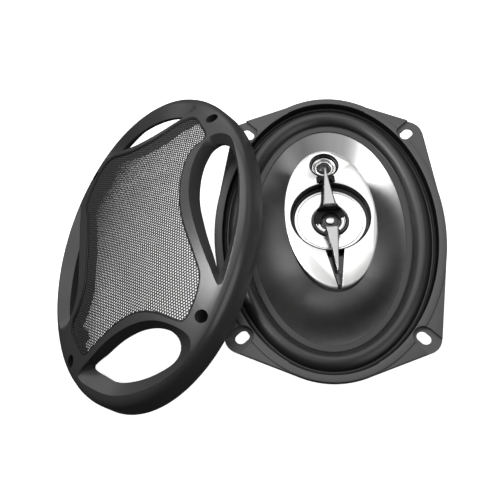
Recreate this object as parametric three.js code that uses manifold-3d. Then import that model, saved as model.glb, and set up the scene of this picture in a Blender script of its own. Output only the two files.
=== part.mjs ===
// Six-by-nine inch coaxial car speaker lying on its magnet, with its grille leaning on its left side.
// Millimetres, +Z out of the cone, +Y along the oval's long axis. Origin: the middle of the magnet's back.
import * as THREE from 'three';
import { mergeVertices } from 'three/addons/utils/BufferGeometryUtils.js';
import Module from 'manifold-3d';

const wasm = await Module();
wasm.setup();

// ---------------------------------------------------------------- driving dimensions

const GAP = 0.3; // clearance kept between pieces that touch on the real speaker
const CORNERS = [[1, 1], [-1, 1], [-1, -1], [1, -1]]; // signs of x and y at the four corners
const ROUND = 20; // segments round a small turned piece
const OVAL = 36; // segments round an oval piece

const BACK_PLATE = { radius: 44, thickness: 5 };
const POLE = { radius: 11.6, top: 25.6, boreRadius: 4.3, boreBottom: 7 };
const MAGNET = { radius: 45, bore: 22, bottom: 5.3, top: 20.3 };
const TOP_PLATE = { radius: 42, bore: 14.3, bottom: 20.6, top: 25.6 };
const RIVET = { pitchRadius: 33, shank: 1.8, head: 3.2, headHeight: 1.4, count: 4 };

const FORMER = { inner: 12.2, outer: 12.8, bottom: 16, top: 47.6 };
const WINDING = { inner: 13.1, outer: 13.7, bottom: 16.5, top: 29.5 };
const SPIDER = { inner: 13.1, outer: 44, z: 40.9, rise: 1.2, thickness: 0.7, waves: 3 };

const FLANGE = { a: 82, b: 118, top: 88, web: 87, underside: 84.5 };
const APERTURE = { a: 76.3, b: 112.3 }; // inner edge of the raised oval rim
const EAR = { x: 60, y: 85, radius: 12, sides: 16 };
const EAR_SLOT = { halfWidth: 3.75, halfLength: 5.25, padRadius: 7.6, padZ: 85.2 };
const LEDGE_Z = 81.6; // shelf that carries the surround
const CUP = { radius: 40, inner: 38, bottom: 25.9, floor: 27.7, ledge: 37.8 };
const WINDOW = { count: 12, width: 24, bottom: 47, top: 73, corner: 4 };

const MOUTH = { a: 53.8, b: 89.5, z: 81.8 }; // oval mouth of the cone
const CONE = { neckRadius: 13.2, neckZ: 46, thickness: 1.1, lip: 4.8 };
const ROLL = { start: 5.3, end: 18.5, rise: 5, thickness: 0.8, lip: 0.6 };
const GASKET = { inner: 19.3, outer: 21.8, bottom: 83.1, top: 84.1 };

const POD_TURN = THREE.MathUtils.degToRad(4.9);
const POD = { a: 31.9, b: 56.6, top: 102.8, skin: 1.8, bottom: 80, shoulder: 93 };
const POST = { radius: 4, bottom: 7.4, top: 86.6 };
const DISH_WELL = { radius: 28.2, floor: 94.5, pocketRadius: 14.9, pocketFloor: 87.5 };
const SMALL_TWEETER = { y: 43.3, radius: 10.6, floor: 95 };
const HUB = { radius: 12.8, bottom: 93.6, top: 97.6, stalk: 3 };
const UPPER_POINTER = { base: 7.3, apex: 39.2, halfWidth: 4.35, bottom: 103.6, top: 106.2 };
const LOWER_POINTER = { base: -10.3, apex: -45.3, halfWidth: 4.1, bottom: 103.6, top: 106.2 };
const POINTER_LEG = 4.4;

const TERMINAL = { width: 26, height: 15, thickness: 1.6, z: 58 };
const LEAD_RADIUS = 0.9;
const CAPACITOR = { radius: 5, length: 17, x: 57, z: 42, leadRadius: 0.5 };

const GRILLE = { a: 95, b: 127.5, wall: 13.8, crown: 38, fall: 20.5, depth: 11 };
const GRILLE_LEAN = THREE.MathUtils.degToRad(36);
const GRILLE_AT = { x: -123.8, clearance: 0.5 };
const GRILLE_BOSS = {
  x: 62, y: 81.5, radius: 6.6, bottom: 4.6, recess: 4.5, bore: 4.5, boreDepth: 5.5, through: 2.4,
};
const GRILLE_MESH = { thickness: 0.9, lift: 0.4 };

// ---------------------------------------------------------------- finishes

const finish = (color, roughness, metalness) =>
  new THREE.MeshStandardMaterial({ color, roughness, metalness });

const blackSteel = () => finish(0x4a4a4c, 0.55, 0.3);
const zincSteel = () => finish(0xb9bcc0, 0.35, 0.9);
const ferrite = () => finish(0x2b2b2d, 0.8, 0.1);
const chrome = () => finish(0xe9e6e6, 0.12, 1.0);
const satinSilver = () => finish(0xa7a6a6, 0.35, 0.9);
const blackPlastic = () => finish(0x1b1b1c, 0.45, 0.0);
const charcoalPlastic = () => finish(0x454648, 0.42, 0.0);
const rubber = () => finish(0x303031, 0.7, 0.0);
const coneSkin = () => finish(0x6d6d6e, 0.3, 0.8);
const spiderCloth = () => finish(0xc9a24a, 0.9, 0.0);
const copper = () => finish(0xb8733c, 0.35, 1.0);
const amber = () => finish(0xc98a3d, 0.4, 0.0);
const fibreBoard = () => finish(0x7a4a2c, 0.7, 0.0);
const brass = () => finish(0xcaa75a, 0.3, 1.0);

// ---------------------------------------------------------------- geometry helpers

// A closed solid skinned over a chain of rings that all have the same number of points.
function skin(rings, closedLoop) {
  const count = rings[0].length;
  const position = rings.flat().flatMap((p) => [p.x, p.y, p.z]);
  const index = [];
  const bands = closedLoop ? rings.length : rings.length - 1;
  for (let r = 0; r < bands; r += 1) {
    const low = r * count;
    const high = ((r + 1) % rings.length) * count;
    for (let i = 0; i < count; i += 1) {
      const j = (i + 1) % count;
      index.push(low + i, low + j, high + j, low + i, high + j, high + i);
    }
  }
  if (!closedLoop) {
    const cap = (ring, offset, flip) => {
      const flat = ring.map((p) => new THREE.Vector2(p.x, p.y));
      const wanted = Math.sign(THREE.ShapeUtils.area(flat)) * (flip ? -1 : 1);
      for (const [a, b, c] of THREE.ShapeUtils.triangulateShape(flat, [])) {
        const facing = Math.sign(THREE.ShapeUtils.area([flat[a], flat[b], flat[c]]));
        index.push(...(facing === wanted ? [a, b, c] : [a, c, b]).map((k) => k + offset));
      }
    };
    cap(rings[0], 0, true);
    cap(rings[rings.length - 1], (rings.length - 1) * count, false);
  }
  const geometry = new THREE.BufferGeometry();
  geometry.setAttribute('position', new THREE.Float32BufferAttribute(position, 3));
  geometry.setIndex(index);
  return facingOut(geometry);
}

function signedVolume(geometry) {
  const p = geometry.getAttribute('position');
  const index = geometry.getIndex();
  const [a, b, c] = [new THREE.Vector3(), new THREE.Vector3(), new THREE.Vector3()];
  let volume = 0;
  for (let i = 0; i < index.count; i += 3) {
    a.fromBufferAttribute(p, index.getX(i));
    b.fromBufferAttribute(p, index.getX(i + 1));
    c.fromBufferAttribute(p, index.getX(i + 2));
    volume += a.dot(b.cross(c)) / 6;
  }
  return volume;
}

function facingOut(geometry) {
  if (signedVolume(geometry) >= 0) return geometry;
  const flipped = Array.from(geometry.getIndex().array);
  for (let i = 0; i < flipped.length; i += 3) {
    [flipped[i + 1], flipped[i + 2]] = [flipped[i + 2], flipped[i + 1]];
  }
  geometry.setIndex(flipped);
  return geometry;
}

function ovalRing(a, b, z, segments = OVAL) {
  return Array.from({ length: segments }, (_, i) => {
    const t = (i / segments) * Math.PI * 2;
    return new THREE.Vector3(a * Math.cos(t), b * Math.sin(t), z);
  });
}

// A closed band turned round the oval: profile is a list of [half width, half length, height].
const ovalBand = (profile, segments) => skin(profile.map(([a, b, z]) => ovalRing(a, b, z, segments)), true);

// A solid of oval cross-sections stacked along Z and capped at both ends.
const ovalStack = (profile, segments) => skin(profile.map(([a, b, z]) => ovalRing(a, b, z, segments)), false);

// A turned solid or ring: profile is a list of [radius, height], either on the axis at both ends or closed.
function turned(profile, segments = ROUND) {
  const onAxis = profile[0][0] === 0;
  const points = profile.map(([r, z]) => new THREE.Vector2(r, z));
  if (!onAxis) points.push(points[0].clone());
  const lathe = new THREE.LatheGeometry(points, segments);
  lathe.rotateX(Math.PI / 2);
  return weld(lathe);
}

const tubeRing = (inner, outer, bottom, top, segments) =>
  turned([[inner, bottom], [outer, bottom], [outer, top], [inner, top]], segments);

const disc = (radius, bottom, top, segments) =>
  turned([[0, bottom], [radius, bottom], [radius, top], [0, top]], segments);

function weld(geometry) {
  const bare = geometry.index ? geometry.toNonIndexed() : geometry.clone();
  bare.deleteAttribute('normal');
  bare.deleteAttribute('uv');
  const merged = mergeVertices(bare, 1e-4);
  const from = merged.getIndex();
  const kept = [];
  for (let i = 0; i < from.count; i += 3) {
    const [a, b, c] = [from.getX(i), from.getX(i + 1), from.getX(i + 2)];
    if (a !== b && b !== c && a !== c) kept.push(a, b, c);
  }
  merged.setIndex(kept);
  return facingOut(merged);
}

function solid(geometry) {
  const welded = weld(geometry);
  return new wasm.Manifold(new wasm.Mesh({
    numProp: 3,
    vertProperties: new Float32Array(welded.getAttribute('position').array),
    triVerts: new Uint32Array(welded.getIndex().array),
  }));
}

function geometryOf(manifold) {
  const mesh = manifold.getMesh();
  const geometry = new THREE.BufferGeometry();
  geometry.setAttribute('position', new THREE.BufferAttribute(new Float32Array(mesh.vertProperties), 3));
  geometry.setIndex(Array.from(mesh.triVerts));
  return geometry;
}

const cut = (body, ...tools) =>
  geometryOf(tools.reduce((left, tool) => left.subtract(solid(tool)), solid(body)));

const join = (first, ...others) =>
  geometryOf(others.reduce((all, body) => all.add(solid(body)), solid(first)));

function prism(shape, bottom, top, curveSegments = 8) {
  const depth = top - bottom;
  const geometry = new THREE.ExtrudeGeometry(shape, { depth, bevelEnabled: false, curveSegments });
  return geometry.translate(0, 0, bottom);
}

function box(x0, x1, y0, y1, z0, z1) {
  const geometry = new THREE.BoxGeometry(x1 - x0, y1 - y0, z1 - z0);
  return geometry.translate((x0 + x1) / 2, (y0 + y1) / 2, (z0 + z1) / 2);
}

function post(x, y, radius, bottom, top, segments = 12) {
  return disc(radius, bottom, top, segments).translate(x, y, 0);
}

const polygon = (points) => new THREE.Shape(points.map(([x, y]) => new THREE.Vector2(x, y)));

function tubeAlong(points, radius, quarter = 4, steps = 14) {
  const path = new THREE.CatmullRomCurve3(points.map(([x, y, z]) => new THREE.Vector3(x, y, z)));
  const section = new THREE.Shape();
  section.absarc(0, 0, radius, 0, Math.PI * 2);
  return new THREE.ExtrudeGeometry(section, {
    extrudePath: path, steps, curveSegments: quarter, bevelEnabled: false,
  });
}

// Shifts every point of a closed outline along its own normal; positive distances grow the outline.
function offsetOutline(points, distance) {
  const area = THREE.ShapeUtils.area(points);
  const side = area > 0 ? distance : -distance;
  return points.map((p, i) => {
    const before = points[(i + points.length - 1) % points.length];
    const after = points[(i + 1) % points.length];
    const along = after.clone().sub(before).normalize();
    return new THREE.Vector2(p.x + along.y * side, p.y - along.x * side);
  });
}

// A closed outline through hand-set points, resampled evenly so that two such outlines can be skinned.
function smoothOutline(points, samples) {
  const corners = points.map(([x, y]) => new THREE.Vector3(x, y, 0));
  const curve = new THREE.CatmullRomCurve3(corners, true, 'centripetal');
  return curve.getSpacedPoints(samples).slice(0, samples).map((p) => new THREE.Vector2(p.x, p.y));
}

// ---------------------------------------------------------------- scene graph helpers

const speakerAndGrille = new THREE.Group();

function add(group, name, geometry, material) {
  const mesh = new THREE.Mesh(geometry, material);
  mesh.name = name;
  group.add(mesh);
  return mesh;
}

// ---------------------------------------------------------------- motor

function buildMotor(group) {
  const yoke = turned([
    [0, 0], [BACK_PLATE.radius - 1.5, 0], [BACK_PLATE.radius, 1.5], [BACK_PLATE.radius, BACK_PLATE.thickness],
    [POLE.radius, BACK_PLATE.thickness], [POLE.radius, POLE.top - 1], [POLE.radius - 1, POLE.top],
    [POLE.boreRadius, POLE.top], [POLE.boreRadius, POLE.boreBottom], [0, POLE.boreBottom],
  ], 32);
  add(group, 'back_plate_and_pole', yoke, zincSteel());
  const magnet = turned([
    [MAGNET.bore, MAGNET.bottom], [MAGNET.radius - 1, MAGNET.bottom], [MAGNET.radius, MAGNET.bottom + 1],
    [MAGNET.radius, MAGNET.top - 1], [MAGNET.radius - 1, MAGNET.top], [MAGNET.bore, MAGNET.top],
  ], 32);
  add(group, 'magnet_ring', magnet, ferrite());
  const holes = rivetHoles(TOP_PLATE.bottom - 1, TOP_PLATE.top + 1);
  const topPlate = tubeRing(TOP_PLATE.bore, TOP_PLATE.radius, TOP_PLATE.bottom, TOP_PLATE.top, 32);
  add(group, 'top_plate', cut(topPlate, ...holes), zincSteel());
}

function rivetPlaces() {
  return Array.from({ length: RIVET.count }, (_, i) => {
    const t = (Math.PI / 2) * i + Math.PI / 4;
    return [RIVET.pitchRadius * Math.cos(t), RIVET.pitchRadius * Math.sin(t)];
  });
}

function rivetHoles(bottom, top) {
  return rivetPlaces().map(([x, y]) => post(x, y, RIVET.shank + GAP, bottom, top));
}

function buildRivets(group) {
  const headBottom = CUP.floor + GAP;
  rivetPlaces().forEach(([x, y], i) => {
    const rivet = turned([
      [0, TOP_PLATE.bottom + GAP], [RIVET.shank, TOP_PLATE.bottom + GAP], [RIVET.shank, headBottom],
      [RIVET.head, headBottom], [RIVET.head, headBottom + RIVET.headHeight * 0.4],
      [RIVET.head * 0.6, headBottom + RIVET.headHeight], [0, headBottom + RIVET.headHeight],
    ], 12);
    add(group, `basket_rivet_${i + 1}`, rivet.translate(x, y, 0), zincSteel());
  });
}

// ---------------------------------------------------------------- basket

// The flange outline is the oval rim and the four ears, joined by straight edges that touch both.
function flangeOutline() {
  const cloud = ovalRing(FLANGE.a, FLANGE.b, 0).map((p) => [p.x, p.y]);
  for (const [sx, sy] of CORNERS) {
    for (let i = 0; i < EAR.sides; i += 1) {
      const t = (i / EAR.sides) * Math.PI * 2;
      cloud.push([sx * EAR.x + EAR.radius * Math.cos(t), sy * EAR.y + EAR.radius * Math.sin(t)]);
    }
  }
  return polygon(convexHull(cloud));
}

function convexHull(cloud) {
  const sorted = [...cloud].sort((p, q) => p[0] - q[0] || p[1] - q[1]);
  const turn = (o, p, q) => (p[0] - o[0]) * (q[1] - o[1]) - (p[1] - o[1]) * (q[0] - o[0]);
  const chain = (points) => {
    const hull = [];
    for (const p of points) {
      while (hull.length > 1 && turn(hull.at(-2), hull.at(-1), p) <= 1e-6) hull.pop();
      hull.push(p);
    }
    return hull.slice(0, -1);
  };
  return [...chain(sorted), ...chain(sorted.reverse())];
}

function earSlot(sx, sy) {
  const reach = EAR_SLOT.halfLength - EAR_SLOT.halfWidth;
  const slot = new THREE.Shape();
  slot.absarc(reach, 0, EAR_SLOT.halfWidth, -Math.PI / 2, Math.PI / 2);
  slot.absarc(-reach, 0, EAR_SLOT.halfWidth, Math.PI / 2, Math.PI * 1.5);
  const cutter = prism(slot, FLANGE.underside - 3, FLANGE.top + 3, 4);
  return cutter.rotateZ(Math.atan2(sy, sx)).translate(sx * EAR.x, sy * EAR.y, 0);
}

// The screw pad: a round recess, open towards the ear's outer corner.
function earPad(sx, sy) {
  const pad = new THREE.Shape();
  pad.absarc(0, 0, EAR_SLOT.padRadius, Math.PI / 2, Math.PI * 1.5);
  pad.lineTo(EAR.radius + 4, -EAR_SLOT.padRadius);
  pad.lineTo(EAR.radius + 4, EAR_SLOT.padRadius);
  const cutter = prism(pad, EAR_SLOT.padZ, FLANGE.top + 3, 5);
  return cutter.rotateZ(Math.atan2(sy, sx)).translate(sx * EAR.x, sy * EAR.y, 0);
}

// A ventilation window: a rounded slot driven outwards through the basket's side.
function basketWindow(t) {
  const { width, bottom, top, corner } = WINDOW;
  const [w, h] = [width / 2, (top - bottom) / 2];
  const shape = new THREE.Shape();
  shape.absarc(w - corner, h - corner, corner, 0, Math.PI / 2);
  shape.absarc(-w + corner, h - corner, corner, Math.PI / 2, Math.PI);
  shape.absarc(-w + corner, -h + corner, corner, Math.PI, Math.PI * 1.5);
  shape.absarc(w - corner, -h + corner, corner, Math.PI * 1.5, Math.PI * 2);
  const cutter = prism(shape, 0, 90, 1);
  cutter.rotateX(Math.PI / 2).rotateZ(Math.PI / 2);
  const [a, b] = [57, 72];
  const outward = Math.atan2(a * Math.sin(t), b * Math.cos(t));
  cutter.rotateZ(outward);
  const start = 24;
  const x = a * Math.cos(t) - start * Math.cos(outward);
  const y = b * Math.sin(t) - start * Math.sin(outward);
  return cutter.translate(x, y, (bottom + top) / 2);
}

function buildBasket(group) {
  const shell = ovalBand([
    [18, 18, CUP.bottom], [CUP.radius, CUP.radius, CUP.bottom], [CUP.radius, CUP.radius, CUP.ledge - 0.4],
    [46, 46, CUP.ledge], [47.2, 47.2, 40.5], [70.5, 105, 77.5], [78.6, 115, 79.6],
    [78.6, 115, FLANGE.underside], [FLANGE.a, FLANGE.b, FLANGE.underside], [FLANGE.a, FLANGE.b, FLANGE.top],
    [APERTURE.a, APERTURE.b, FLANGE.top], [APERTURE.a, APERTURE.b, LEDGE_Z], [70.8, 107.8, LEDGE_Z],
    [68.6, 102.8, 78.8], [45.2, 45.2, 41.6], [45, 45, 39.8], [CUP.inner, CUP.inner, 39.4],
    [CUP.inner, CUP.inner, CUP.floor], [18, 18, CUP.floor],
  ]);
  const plate = prism(flangeOutline(), FLANGE.underside, FLANGE.web);
  const opening = ovalStack([[79, 115.2, FLANGE.underside - 2], [79, 115.2, FLANGE.top + 2]]);
  const windowStep = (Math.PI * 2) / WINDOW.count;
  const windows = Array.from({ length: WINDOW.count }, (_, i) => basketWindow((i + 0.5) * windowStep));
  const flange = cut(plate, opening);
  const basket = cut(
    join(shell, flange),
    ...CORNERS.map(([sx, sy]) => earPad(sx, sy)),
    ...CORNERS.map(([sx, sy]) => earSlot(sx, sy)),
    ...windows,
    ...rivetHoles(CUP.bottom - 1, CUP.floor + 1),
  );
  add(group, 'basket', basket, blackSteel());
}

// ---------------------------------------------------------------- woofer moving parts

const mouthAt = (spread) => [MOUTH.a + spread, MOUTH.b + spread * 1.03];

function buildWoofer(group) {
  add(group, 'voice_coil_former', tubeRing(FORMER.inner, FORMER.outer, FORMER.bottom, FORMER.top), amber());
  add(group, 'voice_coil', tubeRing(WINDING.inner, WINDING.outer, WINDING.bottom, WINDING.top), copper());
  const steps = 5;
  const inside = [];
  const outside = [];
  for (let i = 0; i <= steps; i += 1) {
    const t = i / steps;
    const rise = t ** 0.86;
    const a = CONE.neckRadius + (MOUTH.a - CONE.neckRadius) * t;
    const b = CONE.neckRadius + (MOUTH.b - CONE.neckRadius) * t;
    const z = CONE.neckZ + (MOUTH.z - CONE.neckZ) * rise;
    inside.push([a, b, z]);
    outside.unshift([a + CONE.thickness * 0.7, b + CONE.thickness * 0.5, z - CONE.thickness]);
  }
  const lip = mouthAt(CONE.lip);
  const cone = ovalBand([...inside, [...lip, MOUTH.z], [...lip, MOUTH.z - CONE.thickness], ...outside]);
  add(group, 'woofer_cone', cone, coneSkin());
}

function buildSurround(group) {
  const base = MOUTH.z + GAP;
  const top = base + ROLL.lip;
  const upper = [];
  const under = [];
  const steps = 6;
  for (let i = 0; i <= steps; i += 1) {
    const t = i / steps;
    const spread = ROLL.start + (ROLL.end - ROLL.start) * t;
    const rise = Math.sin(Math.PI * t) ** 0.75 * ROLL.rise;
    upper.push([...mouthAt(spread), top + rise]);
    if (i > 0 && i < steps) under.unshift([...mouthAt(spread), top + rise - ROLL.thickness]);
  }
  const surround = ovalBand([
    [...mouthAt(0.5), top], ...upper, [...mouthAt(GASKET.outer), top], [...mouthAt(GASKET.outer), base],
    [...mouthAt(ROLL.end), base], ...under, [...mouthAt(ROLL.start), base], [...mouthAt(0.5), base],
  ]);
  add(group, 'rubber_surround', surround, rubber());
  const gasket = ovalBand([
    [...mouthAt(GASKET.inner), GASKET.bottom], [...mouthAt(GASKET.outer), GASKET.bottom],
    [...mouthAt(GASKET.outer), GASKET.top], [...mouthAt(GASKET.inner), GASKET.top],
  ]);
  add(group, 'gasket_ring', gasket, rubber());
}

function buildSpider(group) {
  const top = [];
  const bottom = [];
  const steps = SPIDER.waves * 2;
  for (let i = 0; i <= steps; i += 1) {
    const r = SPIDER.inner + 1.5 + (SPIDER.outer - 6.5 - SPIDER.inner) * (i / steps);
    const z = SPIDER.z + (i % 2 === 1 ? SPIDER.rise : 0);
    top.unshift([r, z]);
    bottom.push([r, z - SPIDER.thickness]);
  }
  const spider = turned([
    [SPIDER.inner, SPIDER.z - SPIDER.thickness], ...bottom, [SPIDER.outer, SPIDER.z - SPIDER.thickness],
    [SPIDER.outer, SPIDER.z], ...top, [SPIDER.inner, SPIDER.z],
  ]);
  add(group, 'spider', spider, spiderCloth());
}

// ---------------------------------------------------------------- terminals and wiring

function buildTerminals(group) {
  const slope = Math.atan2(23.3, 37);
  const bracket = new THREE.Group();
  bracket.rotation.y = slope;
  bracket.position.set(59.6, 0, TERMINAL.z);
  group.add(bracket);
  const { width, height, thickness } = TERMINAL;
  const hole = (y, from, to) => disc(1.5, from, to, 12).rotateY(Math.PI / 2).translate(0, y, 2);
  const holes = [-8.5, 8.5].map((y) => hole(y, -1, thickness + 1));
  const board = box(0, thickness, -width / 2, width / 2, -height / 2, height / 2);
  add(bracket, 'terminal_board', cut(board, ...holes), fibreBoard());
  const lugs = [['terminal_positive', 8.5, 3.15], ['terminal_negative', -8.5, 2.4]];
  for (const [name, y, half] of lugs) {
    const base = box(thickness + GAP, thickness + GAP + 0.8, y - half, y + half, -4, 5);
    const tab = box(thickness + GAP, thickness + GAP + 11, y - half, y + half, -4.8, -4);
    add(bracket, name, cut(join(base, tab), hole(y, 0, 6)), brass());
    const rivetProfile = [[0, 0], [1.2, 0], [1.2, 3.1], [2.2, 3.1], [2.2, 3.8], [0, 3.8]];
    const rivet = turned(rivetProfile, 12).rotateY(Math.PI / 2).translate(0, y, 2);
    add(bracket, `${name}_rivet`, rivet, zincSteel());
  }
  for (const [name, side] of [['tinsel_lead_positive', 1], ['tinsel_lead_negative', -1]]) {
    const route = [
      [61, 15.2 * side, 57.5], [57, 15.4 * side, 55.5], [50, 14.5 * side, 51], [41, 12.5 * side, 47.6],
      [31, 9.5 * side, 45.4], [22, 6.8 * side, 44.2], [15.2, 4.4 * side, 43.8],
    ];
    add(group, name, tubeAlong(route, LEAD_RADIUS), copper());
  }
}

function buildCapacitor(group) {
  const half = CAPACITOR.length / 2;
  const can = turned([
    [0, -half], [CAPACITOR.radius - 0.8, -half], [CAPACITOR.radius, -half + 0.8],
    [CAPACITOR.radius, half - 0.8], [CAPACITOR.radius - 0.8, half], [0, half],
  ], 20);
  const leads = disc(CAPACITOR.leadRadius, -half - 6, half + 6, 8);
  const capacitor = join(can, leads).rotateX(Math.PI / 2).translate(CAPACITOR.x, 0, CAPACITOR.z);
  add(group, 'crossover_capacitor', capacitor, amber());
}

// ---------------------------------------------------------------- tweeter pod

const slotOutline = () => polygon([[-6.7, -26], [-1.1, -58], [1.1, -58], [6.7, -26]]);
const neckOutline = () => polygon([[-5.4, 26], [5.4, 26], [5.4, 36], [-5.4, 36]]);

function buildPodBody(group) {
  const inset = 1.2;
  const housing = ovalStack([
    [8.5, 8.5, POD.bottom], [10, 10, 84], [20, 32, 86], [POD.a - inset, POD.b - inset, POD.shoulder],
    [POD.a - inset, POD.b - inset, POD.top - POD.skin - GAP],
  ], 32);
  const above = POD.top + 5;
  const hollow = cut(
    housing,
    disc(DISH_WELL.radius, DISH_WELL.floor, above, 32),
    disc(DISH_WELL.pocketRadius, DISH_WELL.pocketFloor, above, 20),
    disc(POST.radius + GAP, POD.bottom - 2, POST.top + 0.4, 20),
    post(0, SMALL_TWEETER.y, SMALL_TWEETER.radius, SMALL_TWEETER.floor, above, 24),
    prism(slotOutline(), 98, above),
    prism(neckOutline(), 98, above),
  );
  add(group, 'pod_housing', hollow, blackPlastic());
  const plateBottom = POD.top - POD.skin;
  const plate = cut(
    ovalStack([
      [POD.a, POD.b, plateBottom], [POD.a, POD.b, POD.top - 0.6], [POD.a - 0.8, POD.b - 0.8, POD.top],
    ]),
    disc(DISH_WELL.radius, plateBottom - 2, above, 32),
    post(0, SMALL_TWEETER.y, SMALL_TWEETER.radius, plateBottom - 2, above, 24),
    prism(slotOutline(), plateBottom - 2, above),
    prism(neckOutline(), plateBottom - 2, above),
  );
  add(group, 'pod_face_plate', largestOf(plate), chrome());
  const wedge = prism(polygon([[-2.6, -45.4], [-0.8, -55], [0.8, -55], [2.6, -45.4]]), 98.3, POD.top - 0.4);
  add(group, 'pod_tip_wedge', wedge, satinSilver());
  const bracket = join(
    box(-5, 5, 28.6, 32.7, 98.3, POD.top + 0.2),
    box(-4, 4, 29, 32.4, 100, UPPER_POINTER.bottom - GAP),
  );
  add(group, 'pod_neck_bracket', bracket, blackPlastic());
  add(group, 'pod_post', disc(POST.radius, POST.bottom, POST.top, 20), zincSteel());
}

// The V-shaped slot parts the plate's tip; this keeps the one connected body.
function largestOf(geometry) {
  const pieces = solid(geometry).decompose();
  return geometryOf(pieces.reduce((best, piece) => (piece.volume() > best.volume() ? piece : best)));
}

function buildMidrange(group) {
  add(group, 'midrange_magnet', tubeRing(HUB.stalk + GAP, 12.4, 87.9, 91.8), zincSteel());
  add(group, 'midrange_voice_coil', tubeRing(13.3, 13.9, 88.6, 95.4), copper());
  const dish = turned([
    [13.3, 95.7], [24.8, 96.3], [25.2, 96.3], [25.2, 97], [24.2, 97.2], [13.3, 96.4],
  ], 32);
  add(group, 'midrange_dish', dish, chrome());
  const roll = turned([
    [25.5, 96.2], [26.6, 97.3], [27.9, 96.2], [27.9, 96.8], [26.9, 97.9], [26.4, 97.9], [25.5, 96.8],
  ], 32);
  add(group, 'midrange_surround', roll, rubber());
}

function buildHubTweeter(group) {
  const hub = turned([
    [0, 88.2], [HUB.stalk, 88.2], [HUB.stalk, 92.2], [6, 93.2], [HUB.radius - 0.8, HUB.bottom],
    [HUB.radius, HUB.bottom + 0.8], [HUB.radius, HUB.top], [11.4, HUB.top], [10.8, 94.9], [0, 94.9],
  ]);
  add(group, 'tweeter_hub', hub, blackPlastic());
  const ring = turned([
    [7.4, 95.2], [10.4, 95.2], [10.9, 96.9], [9.9, 97.1], [9.3, 96.2], [8.3, 96.6], [7.6, 96.2],
  ]);
  add(group, 'tweeter_ring', ring, chrome());
  const dome = turned([
    [0, 95.2], [6.9, 95.2], [6.9, 95.6], [5.2, 95.9], [2.9, 95.9], [2.85, 96.6], [1.8, 97.3], [0, 97.5],
  ], 24);
  add(group, 'tweeter_dome', dome, satinSilver());
}

function buildSmallTweeter(group) {
  const unit = new THREE.Group();
  unit.position.y = SMALL_TWEETER.y;
  group.add(unit);
  const cup = turned([
    [0, 95.4], [10.1, 95.4], [10.1, POD.top + 0.6], [9.5, POD.top + 0.6], [9, 98.2], [6.6, 97.4], [0, 97.4],
  ]);
  add(unit, 'small_tweeter_cup', cup, blackPlastic());
  const ring = turned([[6.9, 97.9], [8.7, 98.5], [8.8, 100], [8, 100.2], [7, 99.4]]);
  add(unit, 'small_tweeter_ring', ring, chrome());
  const innerRing = turned([[4.9, 97.7], [6.4, 97.7], [6.5, 98.8], [5.7, 99.2], [5, 98.6]]);
  add(unit, 'small_tweeter_inner_ring', innerRing, chrome());
  const dome = turned([[0, 97.8], [4.5, 97.8], [4.4, 98.5], [3, 99.6], [0, 100.2]], 24);
  add(unit, 'small_tweeter_dome', dome, rubber());
}

// An arrow-shaped bar with a roof-like top, carried on a short leg that stands on the tweeter hub.
function pointer({ base, apex, halfWidth, bottom, top }) {
  const direction = Math.sign(apex - base);
  const shoulder = bottom + 1.1;
  const outline = (shrink, z) => {
    const tip = Math.max(0.5 - shrink, 0.15);
    const [near, far] = [base + direction * shrink, apex - direction * shrink];
    return [
      new THREE.Vector3(-halfWidth + shrink, near, z), new THREE.Vector3(halfWidth - shrink, near, z),
      new THREE.Vector3(tip, far, z), new THREE.Vector3(-tip, far, z),
    ];
  };
  const bar = skin([outline(0.4, bottom), outline(0, shoulder), outline(1.1, top)], false);
  const [near, far] = [base + direction * 0.8, base + direction * (0.8 + POINTER_LEG)];
  const leg = box(-2.2, 2.2, Math.min(near, far), Math.max(near, far), HUB.top + GAP, bottom + 0.8);
  return [bar, leg];
}

function buildPointers(group) {
  const upper = pointer(UPPER_POINTER);
  add(group, 'upper_pointer', join(...upper), satinSilver());
  const [bar] = pointer(LOWER_POINTER);
  const leg = box(-2.2, 2.2, -12.4, -8.6, HUB.top + GAP, LOWER_POINTER.bottom + 0.8);
  add(group, 'lower_pointer', join(bar, leg), satinSilver());
}

// ---------------------------------------------------------------- grille

const crownAt = (x, y) => GRILLE.crown - GRILLE.fall * ((x / GRILLE.a) ** 2 + (y / GRILLE.b) ** 2);
const turnedRound = (points) => points.map(([x, y]) => [-x, -y]);

// Mesh window: four blunt corners that point at the screw bosses, joined by hollow sides.
const MESH_WINDOW = [
  [61, 63], [52, 53], [47.5, 38], [47, 14], [50, -5], [55, -22], [60, -38], [63.5, -54],
  [58.5, -71], [49.5, -83], [42, -80.5], [28, -73], [14, -69.5], [-2, -71], [-18, -76], [-32, -81],
  [-43, -83.5], [-53, -72], [-61, -56], [-51, -44], [-44.5, -30], [-44.5, -8], [-47.5, 12], [-54, 33],
  [-62.5, 52], [-59, 72], [-51, 86], [-40, 89], [-27, 84.5], [-12, 80], [4, 79.5], [19, 83], [34, 89.5],
  [46, 89.5], [55, 77],
];

// Each side opening is widest after its first corner and runs to a point before the next one.
const SIDE_HOLE = [
  [61, 56], [66, 58], [72, 53], [76, 40], [76, 12], [72, -16], [67, -38], [63, -26], [58, -6], [54.5, 14],
  [54.5, 36], [57.5, 49],
];
const SIDE_MOUTH = [
  [64, 62], [70, 63.5], [79, 59], [86, 38], [90, 12], [88.5, -24], [76, -64], [70, -49], [62, -24],
  [56.5, -4], [53.5, 14], [53.5, 36], [58, 53],
];
const BOTTOM_HOLE = [
  [40, -90], [41, -97], [36, -104], [22, -109], [4, -110.5], [-14, -107.5], [-29, -99], [-43, -88],
  [-26, -83.5], [-8, -78.5], [10, -76.5], [24, -78.5], [34, -83.5],
];
const BOTTOM_MOUTH = [
  [53, -94], [53.5, -101], [47, -110], [30, -118], [6, -121.5], [-16, -118.5], [-36, -109], [-53, -95.5],
  [-34, -87], [-12, -79.6], [10, -76], [27, -77.5], [45, -86],
];
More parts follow.
